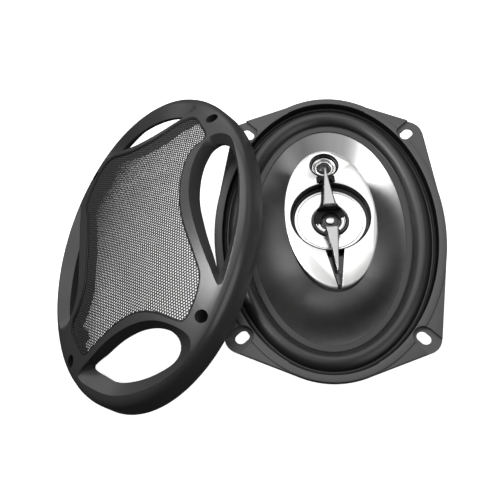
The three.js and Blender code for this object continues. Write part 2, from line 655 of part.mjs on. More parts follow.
const TOP_HOLE = [
  [-42, 94], [-35, 101], [-24, 107], [-10, 110.5], [4, 110.5], [18, 108], [29, 103.5], [36, 96.5], [20, 87.5],
  [4, 83.8], [-12, 84.6], [-28, 89.4],
];
const TOP_MOUTH = [
  [-52, 96], [-43, 106], [-30, 113.5], [-12, 119.5], [6, 120], [22, 117], [36, 110.5], [46, 100], [23, 87.6],
  [4, 83.4], [-13, 84.2], [-32, 89.6],
];

// A flared hole through the crown: straight walls below, opening out to the mouth at the surface.
function flaredHole(hole, mouth) {
  const samples = 20;
  const inner = smoothOutline(hole, samples);
  const outer = smoothOutline(mouth, samples);
  const flat = (points, z) => points.map((p) => new THREE.Vector3(p.x, p.y, z));
  const below = inner.map((p) => new THREE.Vector3(p.x, p.y, crownAt(p.x, p.y) - 7));
  const surface = outer.map((p) => new THREE.Vector3(p.x, p.y, crownAt(p.x, p.y) + 0.2));
  return skin([flat(inner, -5), below, surface, flat(outer, GRILLE.crown + 12)], false);
}

function crownProfile(drop, ratios) {
  const heightAt = (ratio) => GRILLE.crown - GRILLE.fall * ratio ** 2 - drop;
  return ratios.map((ratio) => [GRILLE.a * ratio, GRILLE.b * ratio, heightAt(ratio)]);
}

function buildGrille(group) {
  const grille = new THREE.Group();
  grille.rotation.y = -GRILLE_LEAN;
  grille.position.set(GRILLE_AT.x, 0, GRILLE.a * Math.sin(GRILLE_LEAN) + GRILLE_AT.clearance);
  group.add(grille);

  const at = (ratio, z) => [GRILLE.a * ratio, GRILLE.b * ratio, z];
  const shell = ovalBand([
    at(1, 0), at(1, GRILLE.wall - 3), at(0.985, GRILLE.wall + 2.6), at(0.95, GRILLE.wall + 5.2),
    ...crownProfile(0, [0.9, 0.8, 0.68, 0.55, 0.4]), ...crownProfile(GRILLE.depth, [0.4, 0.55, 0.68, 0.8]),
    at(0.88, GRILLE.wall - 1), at(0.945, GRILLE.wall - 3), at(0.966, GRILLE.wall - 6), at(0.97, 0),
  ], 40);
  const corners = CORNERS.map(([sx, sy]) => [sx * GRILLE_BOSS.x, sy * GRILLE_BOSS.y]);
  const bossTop = crownAt(GRILLE_BOSS.x, GRILLE_BOSS.y) - GRILLE_BOSS.recess;
  const bosses = corners.map(([x, y]) => post(x, y, GRILLE_BOSS.radius, GRILLE_BOSS.bottom, bossTop));
  const windowOutline = smoothOutline(MESH_WINDOW, 50);
  const above = GRILLE.crown + 10;
  const meshWindow = prism(new THREE.Shape(windowOutline), -5, above);
  const frame = cut(
    join(shell, ...bosses),
    meshWindow,
    flaredHole(SIDE_HOLE, SIDE_MOUTH),
    flaredHole(turnedRound(SIDE_HOLE), turnedRound(SIDE_MOUTH)),
    flaredHole(BOTTOM_HOLE, BOTTOM_MOUTH),
    flaredHole(TOP_HOLE, TOP_MOUTH),
    ...corners.map(([x, y]) => post(x, y, GRILLE_BOSS.bore, bossTop - GRILLE_BOSS.boreDepth, above)),
    ...corners.map(([x, y]) => post(x, y, GRILLE_BOSS.through, -2, above)),
  );
  add(grille, 'grille_frame', frame, charcoalPlastic());

  const { thickness, lift } = GRILLE_MESH;
  const dome = ovalBandOnAxis([0, 0.2, 0.4, 0.6, 0.8, 0.96], lift, thickness);
  const sheetOutline = new THREE.Shape(offsetOutline(windowOutline, -0.4));
  const trimmed = solid(dome).intersect(solid(prism(sheetOutline, 0, above)));
  add(grille, 'grille_mesh', geometryOf(trimmed), finish(0xb8babb, 0.35, 0.9));
}

// A thin domed sheet that follows the crown, closed at its middle.
function ovalBandOnAxis(ratios, lift, thickness) {
  const ring = (ratio, drop) => ovalRing(
    Math.max(ratio, 0.01) * GRILLE.a, Math.max(ratio, 0.01) * GRILLE.b,
    GRILLE.crown - GRILLE.fall * ratio ** 2 + drop, 32,
  );
  const upper = ratios.map((ratio) => ring(ratio, lift));
  const lower = ratios.map((ratio) => ring(ratio, lift - thickness)).reverse();
  return skin([...upper, ...lower], false);
}

// ---------------------------------------------------------------- assembly

const speaker = new THREE.Group();
speakerAndGrille.add(speaker);
buildMotor(speaker);
buildRivets(speaker);
buildBasket(speaker);
buildWoofer(speaker);
buildSurround(speaker);
buildSpider(speaker);
buildTerminals(speaker);
buildCapacitor(speaker);

const pod = new THREE.Group();
pod.rotation.z = POD_TURN;
speaker.add(pod);
buildPodBody(pod);
buildMidrange(pod);
buildHubTweeter(pod);
buildSmallTweeter(pod);
buildPointers(pod);

buildGrille(speakerAndGrille);

export default speakerAndGrille;
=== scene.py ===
"""Looks of a six-by-nine inch coaxial car speaker and of the grille that leans against it.

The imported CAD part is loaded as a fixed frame. Every visible piece is modelled around it, in
millimetres turned into metres, with the same axes: +Z out of the cone, +Y along the long axis of
the oval, origin at the magnet's back.
"""

import logging
import math
from dataclasses import dataclass, field
from enum import Enum
from typing import Callable, Optional, Sequence

import bpy
import bmesh
from mathutils import Matrix, Vector


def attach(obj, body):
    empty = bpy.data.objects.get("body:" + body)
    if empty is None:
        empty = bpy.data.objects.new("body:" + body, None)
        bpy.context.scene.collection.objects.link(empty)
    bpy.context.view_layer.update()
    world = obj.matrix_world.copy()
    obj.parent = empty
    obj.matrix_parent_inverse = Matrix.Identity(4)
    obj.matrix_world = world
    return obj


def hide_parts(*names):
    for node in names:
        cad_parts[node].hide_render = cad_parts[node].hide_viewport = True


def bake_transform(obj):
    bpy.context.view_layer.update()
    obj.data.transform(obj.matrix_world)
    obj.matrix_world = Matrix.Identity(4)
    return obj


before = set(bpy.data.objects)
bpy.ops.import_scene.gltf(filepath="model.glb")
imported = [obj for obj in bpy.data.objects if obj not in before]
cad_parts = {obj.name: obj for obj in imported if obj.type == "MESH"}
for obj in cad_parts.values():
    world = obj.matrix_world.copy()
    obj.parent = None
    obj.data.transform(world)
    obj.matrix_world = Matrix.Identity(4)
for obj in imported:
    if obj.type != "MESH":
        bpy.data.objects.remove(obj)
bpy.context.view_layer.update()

LOG = logging.getLogger("speaker")
MM = 0.001
GAP = 0.3

Point2 = tuple[float, float]
Point3 = tuple[float, float, float]
Piece = bpy.types.Object
Tree = bpy.types.NodeTree
Socket = bpy.types.NodeSocket

CORNERS = ((1, 1), (-1, 1), (-1, -1), (1, -1))


# ---------------------------------------------------------------- finishes


class Grain(Enum):
    """The fine structure that a finish shows when it is looked at closely."""

    MOULDED = "moulded"
    TURNED = "turned"
    RADIAL = "radial"
    WOUND = "wound"
    WOVEN = "woven"
    BRAIDED = "braided"
    FIBROUS = "fibrous"


@dataclass(frozen=True)
class Finish:
    """One procedural finish: its two shades, its gloss range and its fine structure."""

    label: str
    slot: str
    dark: Point3
    light: Point3
    rough: Point2
    metallic: float
    grain: Grain
    pitch: float
    relief: float
    wear: float = 0.25
    coat: float = 0.0
    specular: float = 0.5
    centre: Point2 = (0.0, 0.0)


class Painter:
    """Builds the node tree of a finish once and lends it to every piece that asks for it."""

    COAT_ROUGHNESS = 0.12
    BUMP_STRENGTH = 0.6
    PATCH_SIZE = 38.0

    def __init__(self) -> None:
        """Start with no material made."""
        self._made: dict[str, bpy.types.Material] = {}

    def dress(self, piece: Piece, finish: Finish) -> Piece:
        """Give a piece its finish.

        Args:
            piece: the object to paint.
            finish: the finish it takes.

        Returns:
            The same object.
        """
        piece.data.materials.clear()
        piece.data.materials.append(self.material(finish))
        return piece

    def material(self, finish: Finish) -> bpy.types.Material:
        """Return the material of a finish, made on first use."""
        if finish.label not in self._made:
            self._made[finish.label] = self._build(finish)
        return self._made[finish.label]

    def _build(self, finish: Finish) -> bpy.types.Material:
        """Lay the node tree of a finish.

        Args:
            finish: the finish to build.

        Returns:
            A new material with colour, roughness and bump from its nodes.
        """
        made = bpy.data.materials.new(finish.label)
        made.use_nodes = True
        tree = made.node_tree
        shader = tree.nodes["Principled BSDF"]
        shader.inputs["Metallic"].default_value = finish.metallic
        shader.inputs["Coat Weight"].default_value = finish.coat
        shader.inputs["Coat Roughness"].default_value = self.COAT_ROUGHNESS
        shader.inputs["Specular IOR Level"].default_value = finish.specular
        place = self._coordinates(tree, finish.centre)
        fine = self._grain(tree, place, finish)
        broad = self._noise(tree, place, 1.0 / (self.PATCH_SIZE * MM), 2.0)
        patches = self._scaled(tree, broad, finish.wear)
        blend = self._math(tree, "MULTIPLY_ADD", fine, 1.0 - finish.wear, patches)
        tree.links.new(tinted(tree, blend, finish.dark, finish.light), shader.inputs["Base Color"])
        gloss = tree.nodes.new("ShaderNodeMapRange")
        gloss.inputs[3].default_value = finish.rough[0]
        gloss.inputs[4].default_value = finish.rough[1]
        tree.links.new(blend, gloss.inputs[0])
        tree.links.new(gloss.outputs[0], shader.inputs["Roughness"])
        bump = tree.nodes.new("ShaderNodeBump")
        bump.inputs["Distance"].default_value = finish.relief * MM
        bump.inputs["Strength"].default_value = self.BUMP_STRENGTH
        tree.links.new(fine, bump.inputs["Height"])
        tree.links.new(bump.outputs[0], shader.inputs["Normal"])
        return made

    @staticmethod
    def _coordinates(tree: Tree, centre: Point2) -> Socket:
        """Return object coordinates measured from an axis that stands at the centre."""
        source = tree.nodes.new("ShaderNodeTexCoord")
        shift = tree.nodes.new("ShaderNodeMapping")
        shift.inputs["Location"].default_value = (-centre[0] * MM, -centre[1] * MM, 0.0)
        tree.links.new(source.outputs["Object"], shift.inputs["Vector"])
        return shift.outputs[0]

    @staticmethod
    def _noise(tree: Tree, place: Socket, scale: float, detail: float) -> Socket:
        """Return a noise value in 0 to 1 at the given scale per metre."""
        noise = tree.nodes.new("ShaderNodeTexNoise")
        noise.inputs["Scale"].default_value = scale
        noise.inputs["Detail"].default_value = detail
        tree.links.new(place, noise.inputs["Vector"])
        return noise.outputs[0]

    @staticmethod
    def _math(tree: Tree, operation: str, *terms: Socket | float) -> Socket:
        """Return the result of one math node; each term is a socket or a number."""
        node = tree.nodes.new("ShaderNodeMath")
        node.operation = operation
        for socket, term in zip(node.inputs, terms):
            if isinstance(term, (int, float)):
                socket.default_value = term
            else:
                tree.links.new(term, socket)
        return node.outputs[0]

    def _scaled(self, tree: Tree, value: Socket, factor: float) -> Socket:
        """Return a value multiplied by a factor."""
        return self._math(tree, "MULTIPLY", value, factor)

    @staticmethod
    def _stretched(tree: Tree, place: Socket, stretch: Point3) -> Socket:
        """Return the coordinates scaled along each axis."""
        node = tree.nodes.new("ShaderNodeMapping")
        node.inputs["Scale"].default_value = stretch
        tree.links.new(place, node.inputs["Vector"])
        return node.outputs[0]

    @staticmethod
    def _wave(tree: Tree, place: Socket, kind: str, direction: str, pitch: float,
              distortion: float = 0.0) -> Socket:
        """Return a band or ring wave with the given pitch in millimetres."""
        node = tree.nodes.new("ShaderNodeTexWave")
        node.wave_type = kind
        if kind == "BANDS":
            node.bands_direction = direction
        else:
            node.rings_direction = direction
        node.inputs["Scale"].default_value = math.pi / (10 * pitch * MM)
        node.inputs["Distortion"].default_value = distortion
        tree.links.new(place, node.inputs["Vector"])
        return node.outputs["Fac"]

    def _grain(self, tree: Tree, place: Socket, finish: Finish) -> Socket:
        """Return the fine structure of a finish as a height in 0 to 1.

        Args:
            tree: the node tree.
            place: object coordinates.
            finish: says which structure and how fine.

        Returns:
            The height's socket.
        """
        makers: dict[Grain, Callable[[Tree, Socket, float], Socket]] = {
            Grain.MOULDED: self._moulded,
            Grain.TURNED: self._turned,
            Grain.RADIAL: self._radial,
            Grain.WOUND: self._wound,
            Grain.WOVEN: self._woven,
            Grain.BRAIDED: self._braided,
            Grain.FIBROUS: self._fibrous,
        }
        return makers[finish.grain](tree, place, finish.pitch)

    def _moulded(self, tree: Tree, place: Socket, pitch: float) -> Socket:
        """Return the pebbled skin of moulding, paint or rubber."""
        return self._noise(tree, place, 1.0 / (pitch * MM), 3.0)

    def _turned(self, tree: Tree, place: Socket, pitch: float) -> Socket:
        """Return tool marks that ring the axis, broken up by noise."""
        rings = self._wave(tree, place, "RINGS", "Z", pitch, 0.6)
        specks = self._noise(tree, place, 1.0 / (pitch * MM), 2.0)
        return self._math(tree, "MULTIPLY_ADD", rings, 0.5, self._scaled(tree, specks, 0.5))

    def _radial(self, tree: Tree, place: Socket, pitch: float) -> Socket:
        """Return fine streaks that run from the axis outwards."""
        flat = self._stretched(tree, place, (1.0, 1.0, 0.0))
        unit = tree.nodes.new("ShaderNodeVectorMath")
        unit.operation = "NORMALIZE"
        tree.links.new(flat, unit.inputs[0])
        fine = self._noise(tree, unit.outputs[0], 60.0 / pitch, 2.0)
        coarse = self._noise(tree, unit.outputs[0], 9.0 / pitch, 1.0)
        return self._math(tree, "MULTIPLY_ADD", fine, 0.55, self._scaled(tree, coarse, 0.45))

    def _wound(self, tree: Tree, place: Socket, pitch: float) -> Socket:
        """Return the turns of a winding stacked along the axis."""
        return self._wave(tree, place, "BANDS", "Z", pitch)

    def _woven(self, tree: Tree, place: Socket, pitch: float) -> Socket:
        """Return a plain weave of two crossed sets of threads."""
        warp = self._wave(tree, place, "BANDS", "X", pitch, 0.4)
        weft = self._wave(tree, place, "BANDS", "Y", pitch, 0.4)
        return self._math(tree, "MAXIMUM", warp, weft)

    def _braided(self, tree: Tree, place: Socket, pitch: float) -> Socket:
        """Return slanting strands that cross each other."""
        one = self._wave(tree, place, "BANDS", "DIAGONAL", pitch)
        mirrored = self._stretched(tree, place, (1.0, -1.0, 1.0))
        other = self._wave(tree, mirrored, "BANDS", "DIAGONAL", pitch)
        return self._math(tree, "MAXIMUM", one, other)

    def _fibrous(self, tree: Tree, place: Socket, pitch: float) -> Socket:
        """Return short fibres pressed into a board."""
        scale, slack = 1.0 / (pitch * MM), 0.12
        along = self._noise(tree, self._stretched(tree, place, (1.0, slack, 1.0)), scale, 3.0)
        across = self._noise(tree, self._stretched(tree, place, (1.0, 1.0, slack)), scale, 3.0)
        return self._math(tree, "MULTIPLY_ADD", along, 0.5, self._scaled(tree, across, 0.5))


def tinted(tree: Tree, factor: Socket, dark: Point3, light: Point3) -> Socket:
    """Return a colour that runs from a dark to a light shade.

    Args:
        tree: the node tree.
        factor: 0 for the dark shade, 1 for the light one.
        dark: the dark shade.
        light: the light shade.

    Returns:
        The colour's socket.
    """
    blend_in, dark_in, light_in, colour_out = 0, 6, 7, 2
    colour = tree.nodes.new("ShaderNodeMix")
    colour.data_type = "RGBA"
    colour.inputs[dark_in].default_value = (*dark, 1.0)
    colour.inputs[light_in].default_value = (*light, 1.0)
    tree.links.new(factor, colour.inputs[blend_in])
    return colour.outputs[colour_out]


def grey(value: float, warmth: float = 0.0) -> Point3:
    """Return a grey in linear light, a touch warmer or cooler."""
    return (value * (1.0 + warmth), value, value * (1.0 - warmth))


BASKET_PAINT = Finish("satin_basket_paint", "black_steel", grey(0.078), grey(0.102), (0.42, 0.54), 0.0,
                      Grain.MOULDED, 0.55, 0.04)
# Painted shade: near-black finish for the rim's inner wall and ledge, in place of the groove's shadow.
GROOVE_PAINTED_SHADE = Finish("groove_painted_shade", "black_steel", grey(0.006), grey(0.010), (0.60, 0.80), 0.0,
                      Grain.MOULDED, 0.8, 0.04, specular=0.2)
GRILLE_PLASTIC = Finish("satin_grille_plastic", "charcoal_plastic", grey(0.046), grey(0.060),
                        (0.26, 0.33), 0.0, Grain.MOULDED, 0.7, 0.03, specular=0.75)
SCREEN_PAINT = Finish("screen_paint", "grille_wire", grey(0.034), grey(0.055), (0.40, 0.55), 0.0,
                      Grain.MOULDED, 0.9, 0.02)
# Painted shade: the bead is a real edge strip, made near-black to stand in for the crevice shadow at the
# screen's edge.
BEAD_PAINTED_SHADE = Finish("screen_bead_painted_shade", "grille_wire", grey(0.008), grey(0.016), (0.45, 0.65), 0.0,
                    Grain.MOULDED, 1.1, 0.05, specular=0.3)
ROLL_RUBBER = Finish("butyl_roll", "surround_rubber", grey(0.009), grey(0.016), (0.36, 0.46), 0.0,
                     Grain.MOULDED, 0.9, 0.03, specular=0.8)
GASKET_RUBBER = Finish("gasket_foam", "surround_rubber", grey(0.008), grey(0.014), (0.55, 0.75), 0.0,
                       Grain.MOULDED, 0.6, 0.05, specular=0.3)
SOFT_RUBBER = Finish("tweeter_roll", "surround_rubber", grey(0.030), grey(0.050), (0.40, 0.55), 0.0,
                     Grain.MOULDED, 0.4, 0.02)
CONE_FILM = Finish("metallised_cone_film", "metallised_cone", grey(0.34), grey(0.54), (0.27, 0.34), 1.0,
                   Grain.RADIAL, 6.0, 0.012, wear=0.1)
MIRROR_CHROME = Finish("mirror_chrome", "chrome", grey(0.88, 0.006), grey(0.96, 0.006), (0.27, 0.35), 1.0,
                       Grain.MOULDED, 3.0, 0.004)
SATIN_SILVER = Finish("satin_silver", "satin_silver", grey(0.42), grey(0.52), (0.28, 0.40), 1.0,
                      Grain.MOULDED, 0.4, 0.02)
BLACK_PLASTIC = Finish("gloss_black_plastic", "black_plastic", grey(0.010), grey(0.018),
                       (0.16, 0.30), 0.0, Grain.MOULDED, 0.8, 0.01, coat=0.3)
MATT_BLACK = Finish("matt_black_plastic", "black_plastic", grey(0.007), grey(0.012), (0.50, 0.70), 0.0,
                    Grain.MOULDED, 0.8, 0.02, specular=0.25)
DULL_SILVER = Finish("dull_silver", "satin_silver", grey(0.075), grey(0.11), (0.40, 0.52), 0.6,
                     Grain.MOULDED, 0.5, 0.02)
FERRITE = Finish("ground_ferrite", "ferrite", grey(0.022), grey(0.045), (0.55, 0.80), 0.0,
                 Grain.MOULDED, 1.1, 0.10, wear=0.4)
ZINC = Finish("zinc_plate", "zinc_steel", (0.50, 0.51, 0.53), (0.66, 0.66, 0.65), (0.24, 0.42), 1.0,
              Grain.TURNED, 0.8, 0.02, wear=0.5)
SPIDER_CLOTH = Finish("treated_cloth", "spider_cloth", (0.34, 0.20, 0.055), (0.62, 0.42, 0.16),
                      (0.75, 0.92), 0.0, Grain.WOVEN, 0.75, 0.16, wear=0.2)
COPPER = Finish("enamelled_winding", "copper_wire", (0.46, 0.16, 0.06), (0.80, 0.36, 0.18),
                (0.22, 0.40), 1.0, Grain.WOUND, 0.45, 0.10, wear=0.2)
FORMER_FILM = Finish("amber_film", "former_film", (0.42, 0.19, 0.035), (0.60, 0.30, 0.07),
                     (0.28, 0.42), 0.0, Grain.FIBROUS, 1.4, 0.01)
DOME_FILM = Finish("tweeter_dome_film", "dome_film", grey(0.020), grey(0.036), (0.22, 0.36), 0.0,
                   Grain.MOULDED, 0.5, 0.02, coat=0.2)
FIBRE_BOARD = Finish("pressed_board", "fibre_board", (0.11, 0.045, 0.018), (0.24, 0.11, 0.05),
                     (0.60, 0.82), 0.0, Grain.FIBROUS, 0.9, 0.06, wear=0.3)
BRASS = Finish("rolled_brass", "brass", (0.62, 0.42, 0.14), (0.80, 0.60, 0.26), (0.22, 0.38), 1.0,
               Grain.FIBROUS, 0.6, 0.01, wear=0.4)
TINSEL = Finish("braided_tinsel", "tinsel_braid", (0.34, 0.17, 0.08), (0.78, 0.52, 0.32),
                (0.34, 0.52), 1.0, Grain.BRAIDED, 0.55, 0.12, wear=0.1)
SLEEVE = Finish("capacitor_sleeve", "capacitor_sleeve", (0.36, 0.20, 0.045), (0.52, 0.32, 0.09),
                (0.26, 0.40), 0.0, Grain.MOULDED, 2.0, 0.03, coat=0.2)


# ---------------------------------------------------------------- modelling


class Ends(Enum):
    """How a swept profile is closed."""

    LOOP = "loop"
    CAPPED = "capped"


class Bench:
    """The modelling moves that every sub-assembly shares. Sizes come in millimetres."""

    ROUND = 64
    OVAL = 144

    def __init__(self, painter: Painter) -> None:
        """Keep the painter that dresses the finished pieces."""
        self.painter = painter

    @staticmethod
    def clear_selection() -> None:
        """Leave edit mode and deselect everything."""
        if bpy.context.object and bpy.context.object.mode != "OBJECT":
            bpy.ops.object.mode_set(mode="OBJECT")
        bpy.ops.object.select_all(action="DESELECT")

    def pick(self, piece: Piece) -> None:
        """Select one piece alone and make it active."""
        self.clear_selection()
        piece.select_set(True)
        bpy.context.view_layer.objects.active = piece

    def _start(self, name: str, vertices: int) -> Piece:
        """Add a unit ring of edges and enter edit mode on it."""
        self.clear_selection()
        bpy.ops.mesh.primitive_circle_add(vertices=vertices, radius=1.0, location=(0.0, 0.0, 0.0))
        piece = bpy.context.active_object
        piece.name = name
        piece.data.name = name
        bpy.ops.object.mode_set(mode="EDIT")
        bpy.ops.mesh.select_all(action="SELECT")
        return piece

    @staticmethod
    def _stretch(x: float, y: float) -> None:
        """Scale the selected ring about the axis."""
        bpy.ops.transform.resize(value=(x, y, 1.0), center_override=(0.0, 0.0, 0.0))

    @staticmethod
    def _lift(height: float) -> None:
        """Raise the selection by a height in millimetres."""
        bpy.ops.transform.translate(value=(0.0, 0.0, height * MM))

    def sweep(self, name: str, profile: Sequence[Point3], ends: Ends = Ends.LOOP,
              segments: Optional[int] = None) -> Piece:
        """Model a band or solid round the axis by extruding a ring from one oval to the next.

        Args:
            name: the piece's name.
            profile: (half width, half length, height) of each ring, in order; a zero half width
                closes a tip.
            ends: whether the last ring joins the first, or both are capped.
            segments: edges in a ring.

        Returns:
            The piece, a closed mesh.
        """
        piece = self._start(name, segments or self.OVAL)
        width, length, height = profile[0]
        self._stretch(width * MM, length * MM)
        self._lift(height)
        for wide, long, high in profile[1:]:
            bpy.ops.mesh.extrude_region_move()
            tip = wide == 0.0
            self._stretch(0.0 if tip else wide / width, 0.0 if tip else long / length)
            self._lift(high - height)
            width, length, height = wide, long, high
        bpy.ops.mesh.select_all(action="SELECT")
        bpy.ops.mesh.remove_doubles(threshold=1e-7)
        bpy.ops.mesh.select_all(action="DESELECT")
        bpy.ops.mesh.select_non_manifold()
        if ends is Ends.LOOP:
            bpy.ops.mesh.bridge_edge_loops()
        else:
            bpy.ops.mesh.fill_holes(sides=0)
        self._face_out()
        return piece

    def turn(self, name: str, profile: Sequence[Point2], ends: Ends = Ends.LOOP,
             segments: Optional[int] = None) -> Piece:
        """Model a turned piece from (radius, height) pairs, in the way of sweep."""
        return self.sweep(name, [(r, r, z) for r, z in profile], ends, segments or self.ROUND)

    def slab(self, name: str, outline: Sequence[Point2], low: float, high: float) -> Piece:
        """Model a straight-sided plate by extruding a filled outline upwards.

        Args:
            name: the piece's name.
            outline: corners of the plate in order.
            low: height of its lower face.
            high: height of its upper face.

        Returns:
            The plate, a closed mesh.
        """
        piece = self._start(name, len(outline))
        bpy.ops.mesh.edge_face_add()
        bpy.ops.object.mode_set(mode="OBJECT")
        for vertex, (x, y) in zip(piece.data.vertices, outline):
            vertex.co = (x * MM, y * MM, low * MM)
        bpy.ops.object.mode_set(mode="EDIT")
        bpy.ops.mesh.select_all(action="SELECT")
        rise = (0.0, 0.0, (high - low) * MM)
        bpy.ops.mesh.extrude_region_move(TRANSFORM_OT_translate={"value": rise})
        self._face_out()
        return piece

    def loft(self, name: str, rings: Sequence[Sequence[Point3]]) -> Piece:
        """Model a solid skinned over free rings that all have the same number of corners.

        Args:
            name: the piece's name.
            rings: the corners of each ring, from one end to the other.

        Returns:
            The solid, capped at both ends.
        """
        piece = self._start(name, len(rings[0]))
        for ring in rings:
            if ring is not rings[0]:
                bpy.ops.mesh.extrude_region_move()
            mesh = bmesh.from_edit_mesh(piece.data)
            moving = sorted((v for v in mesh.verts if v.select), key=lambda v: v.index)
            for vertex, corner in zip(moving, ring):
                vertex.co = Vector(corner) * MM
            bmesh.update_edit_mesh(piece.data)
        bpy.ops.mesh.select_all(action="DESELECT")
        bpy.ops.mesh.select_non_manifold()
        bpy.ops.mesh.fill_holes(sides=0)
        self._face_out()
        return piece

    def tube(self, name: str, rings: Sequence[Sequence[Point3]]) -> Piece:
        """Model a closed band over free rings, with the last ring joined to the first."""
        count = len(rings[0])
        corners = [tuple(v * MM for v in corner) for ring in rings for corner in ring]
        faces = []
        for r in range(len(rings)):
            low, high = r * count, (r + 1) % len(rings) * count
            for i in range(count):
                after = (i + 1) % count
                faces.append((low + i, low + after, high + after, high + i))
        mesh = bpy.data.meshes.new(name)
        mesh.from_pydata(corners, [], faces)
        piece = bpy.data.objects.new(name, mesh)
        bpy.context.scene.collection.objects.link(piece)
        self.pick(piece)
        bpy.ops.object.mode_set(mode="EDIT")
        self._face_out()
        return piece

    @staticmethod
    def _face_out() -> None:
        """Turn every face outwards and leave edit mode."""
        bpy.ops.mesh.select_all(action="SELECT")
        bpy.ops.mesh.normals_make_consistent(inside=False)
        bpy.ops.object.mode_set(mode="OBJECT")

    def cut(self, piece: Piece, *tools: Piece) -> Piece:
        """Take tools out of a piece; the tools are used up."""
        return self._combine(piece, "DIFFERENCE", tools)

    def join(self, piece: Piece, *others: Piece) -> Piece:
        """Fuse other solids into a piece; the others are used up."""
        return self._combine(piece, "UNION", others)

    def _combine(self, piece: Piece, operation: str, others: Sequence[Piece]) -> Piece:
        """Run a boolean for each of the others and remove it afterwards."""
        for other in others:
            self.pick(piece)
            modifier = piece.modifiers.new("combine", "BOOLEAN")
            modifier.operation = operation
            modifier.object = other
            modifier.solver = "MANIFOLD"
            bpy.ops.object.modifier_apply(modifier=modifier.name)
            bpy.data.objects.remove(other)
        return piece

    def soften(self, piece: Piece, width: float, steps: int = 2, angle: float = 38.0) -> Piece:
        """Round the sharp edges of a piece.

        Args:
            piece: the piece.
            width: how far the rounding reaches from the edge, in millimetres.
            steps: segments of the rounding.
            angle: edges sharper than this, in degrees, are rounded.

        Returns:
            The same piece.
        """
        self.pick(piece)
        modifier = piece.modifiers.new("soften", "BEVEL")
        modifier.width = width * MM
        modifier.segments = steps
        modifier.limit_method = "ANGLE"
        modifier.angle_limit = math.radians(angle)
        bpy.ops.object.modifier_apply(modifier=modifier.name)
        return piece

    @staticmethod
    def place(piece: Piece, matrix: Matrix) -> Piece:
        """Move a finished mesh to its place, with the object left at the origin."""
        piece.data.transform(matrix)
        if matrix.determinant() < 0.0:
            piece.data.flip_normals()
        return piece

    def copy(self, piece: Piece, name: str) -> Piece:
        """Return a copy with a mesh of its own."""
        twin = piece.copy()
        twin.data = piece.data.copy()
        twin.name = name
        twin.data.name = name
        bpy.context.scene.collection.objects.link(twin)
        return twin

    def finish(self, piece: Piece, finish: Finish, body: Optional[str], *nodes: str,
               angle: float = 32.0) -> Piece:
        """Shade, paint and mount a finished piece.

        Args:
            piece: the piece.
            finish: the finish it takes.
            body: the body it rides, or None for a piece left without one.
            nodes: the CAD nodes it stands for.
            angle: edges sharper than this, in degrees, stay crisp.

        Returns:
            The same piece.
        """
        self.pick(piece)
        bpy.ops.object.shade_smooth_by_angle(angle=math.radians(angle))
        self.painter.dress(piece, finish)
        if body is not None:
            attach(piece, body)
        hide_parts(*nodes)
        triangles = sum(len(face.vertices) - 2 for face in piece.data.polygons)
        LOG.info("%s: %d triangles, stands for %s", piece.name, triangles, ", ".join(nodes))
        return piece


def shifted(x: float, y: float, z: float = 0.0) -> Matrix:
    """Return the move by a distance in millimetres."""
    return Matrix.Translation((x * MM, y * MM, z * MM))


def arc(centre: Point2, radius: float, start: float, end: float, steps: int) -> list[Point2]:
    """Return points along an arc.

    Args:
        centre: its centre.
        radius: its radius.
        start: the angle it starts at, in degrees.
        end: the angle it ends at, in degrees.
        steps: stretches between its points.

    Returns:
        steps + 1 points, both ends included.
    """
    angles = (math.radians(start + (end - start) * i / steps) for i in range(steps + 1))
    return [(centre[0] + radius * math.cos(a), centre[1] + radius * math.sin(a)) for a in angles]


def rectangle(x0: float, x1: float, y0: float, y1: float) -> list[Point2]:
    """Return the corners of an upright rectangle."""
    return [(x0, y0), (x1, y0), (x1, y1), (x0, y1)]


def smooth_outline(corners: Sequence[Point2], samples: int) -> list[Point2]:
    """Return evenly spaced points of a closed centripetal curve through the corners.

    Args:
        corners: the points that the curve passes.
        samples: how many points to return.

    Returns:
        The resampled outline.
    """
    fine: list[Vector] = []
    count = len(corners)
    steps = 24
    for i in range(count):
        p = [Vector(corners[(i + k - 1) % count]) for k in range(4)]
        g = [math.sqrt((p[k + 1] - p[k]).length) for k in range(3)]
        first = ((p[1] - p[0]) / g[0] - (p[2] - p[0]) / (g[0] + g[1]) + (p[2] - p[1]) / g[1]) * g[1]
        last = ((p[2] - p[1]) / g[1] - (p[3] - p[1]) / (g[1] + g[2]) + (p[3] - p[2]) / g[2]) * g[1]
        for k in range(steps):
            t = k / steps
            bend = (2 * t**3 - 3 * t**2 + 1) * p[1] + (t**3 - 2 * t**2 + t) * first
            fine.append(bend + (-2 * t**3 + 3 * t**2) * p[2] + (t**3 - t**2) * last)
    fine.append(fine[0])
    lengths = [0.0]
    for before, after in zip(fine, fine[1:]):
        lengths.append(lengths[-1] + (after - before).length)
    points: list[Point2] = []
    at = 0
    for i in range(samples):
        wanted = lengths[-1] * i / samples
        while lengths[at + 1] < wanted:
            at += 1
        part = (wanted - lengths[at]) / (lengths[at + 1] - lengths[at])
        point = fine[at].lerp(fine[at + 1], part)
        points.append((point.x, point.y))
    return points


def smoothstep(value: float) -> float:
    """Return the smooth ramp of a value limited to 0 to 1."""
    t = min(max(value, 0.0), 1.0)
    return t * t * (3.0 - 2.0 * t)


def round_weight(start: float, end: float) -> Callable[[Vector], float]:
    """Return the weight of a round ring that follows the moving body inside start and rests past end."""
    return lambda point: 1.0 - smoothstep((math.hypot(point.x, point.y) - start) / (end - start))


def bend_radially(piece: Piece, weight: Callable[[Vector], float]) -> Piece:
    """Bake a ring-shaped piece's transform and work out how far each point would follow a moving body;
    the weights are not stored, so the piece does not bend.

    Args:
        piece: the piece, with no parent.
        weight: gives 0 where a point stays with the speaker and 1 where it follows the moving body.

    Returns:
        The same piece.
    """
    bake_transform(piece)
    values = [weight(vertex.co / MM) for vertex in piece.data.vertices]
    return piece


# ---------------------------------------------------------------- motor


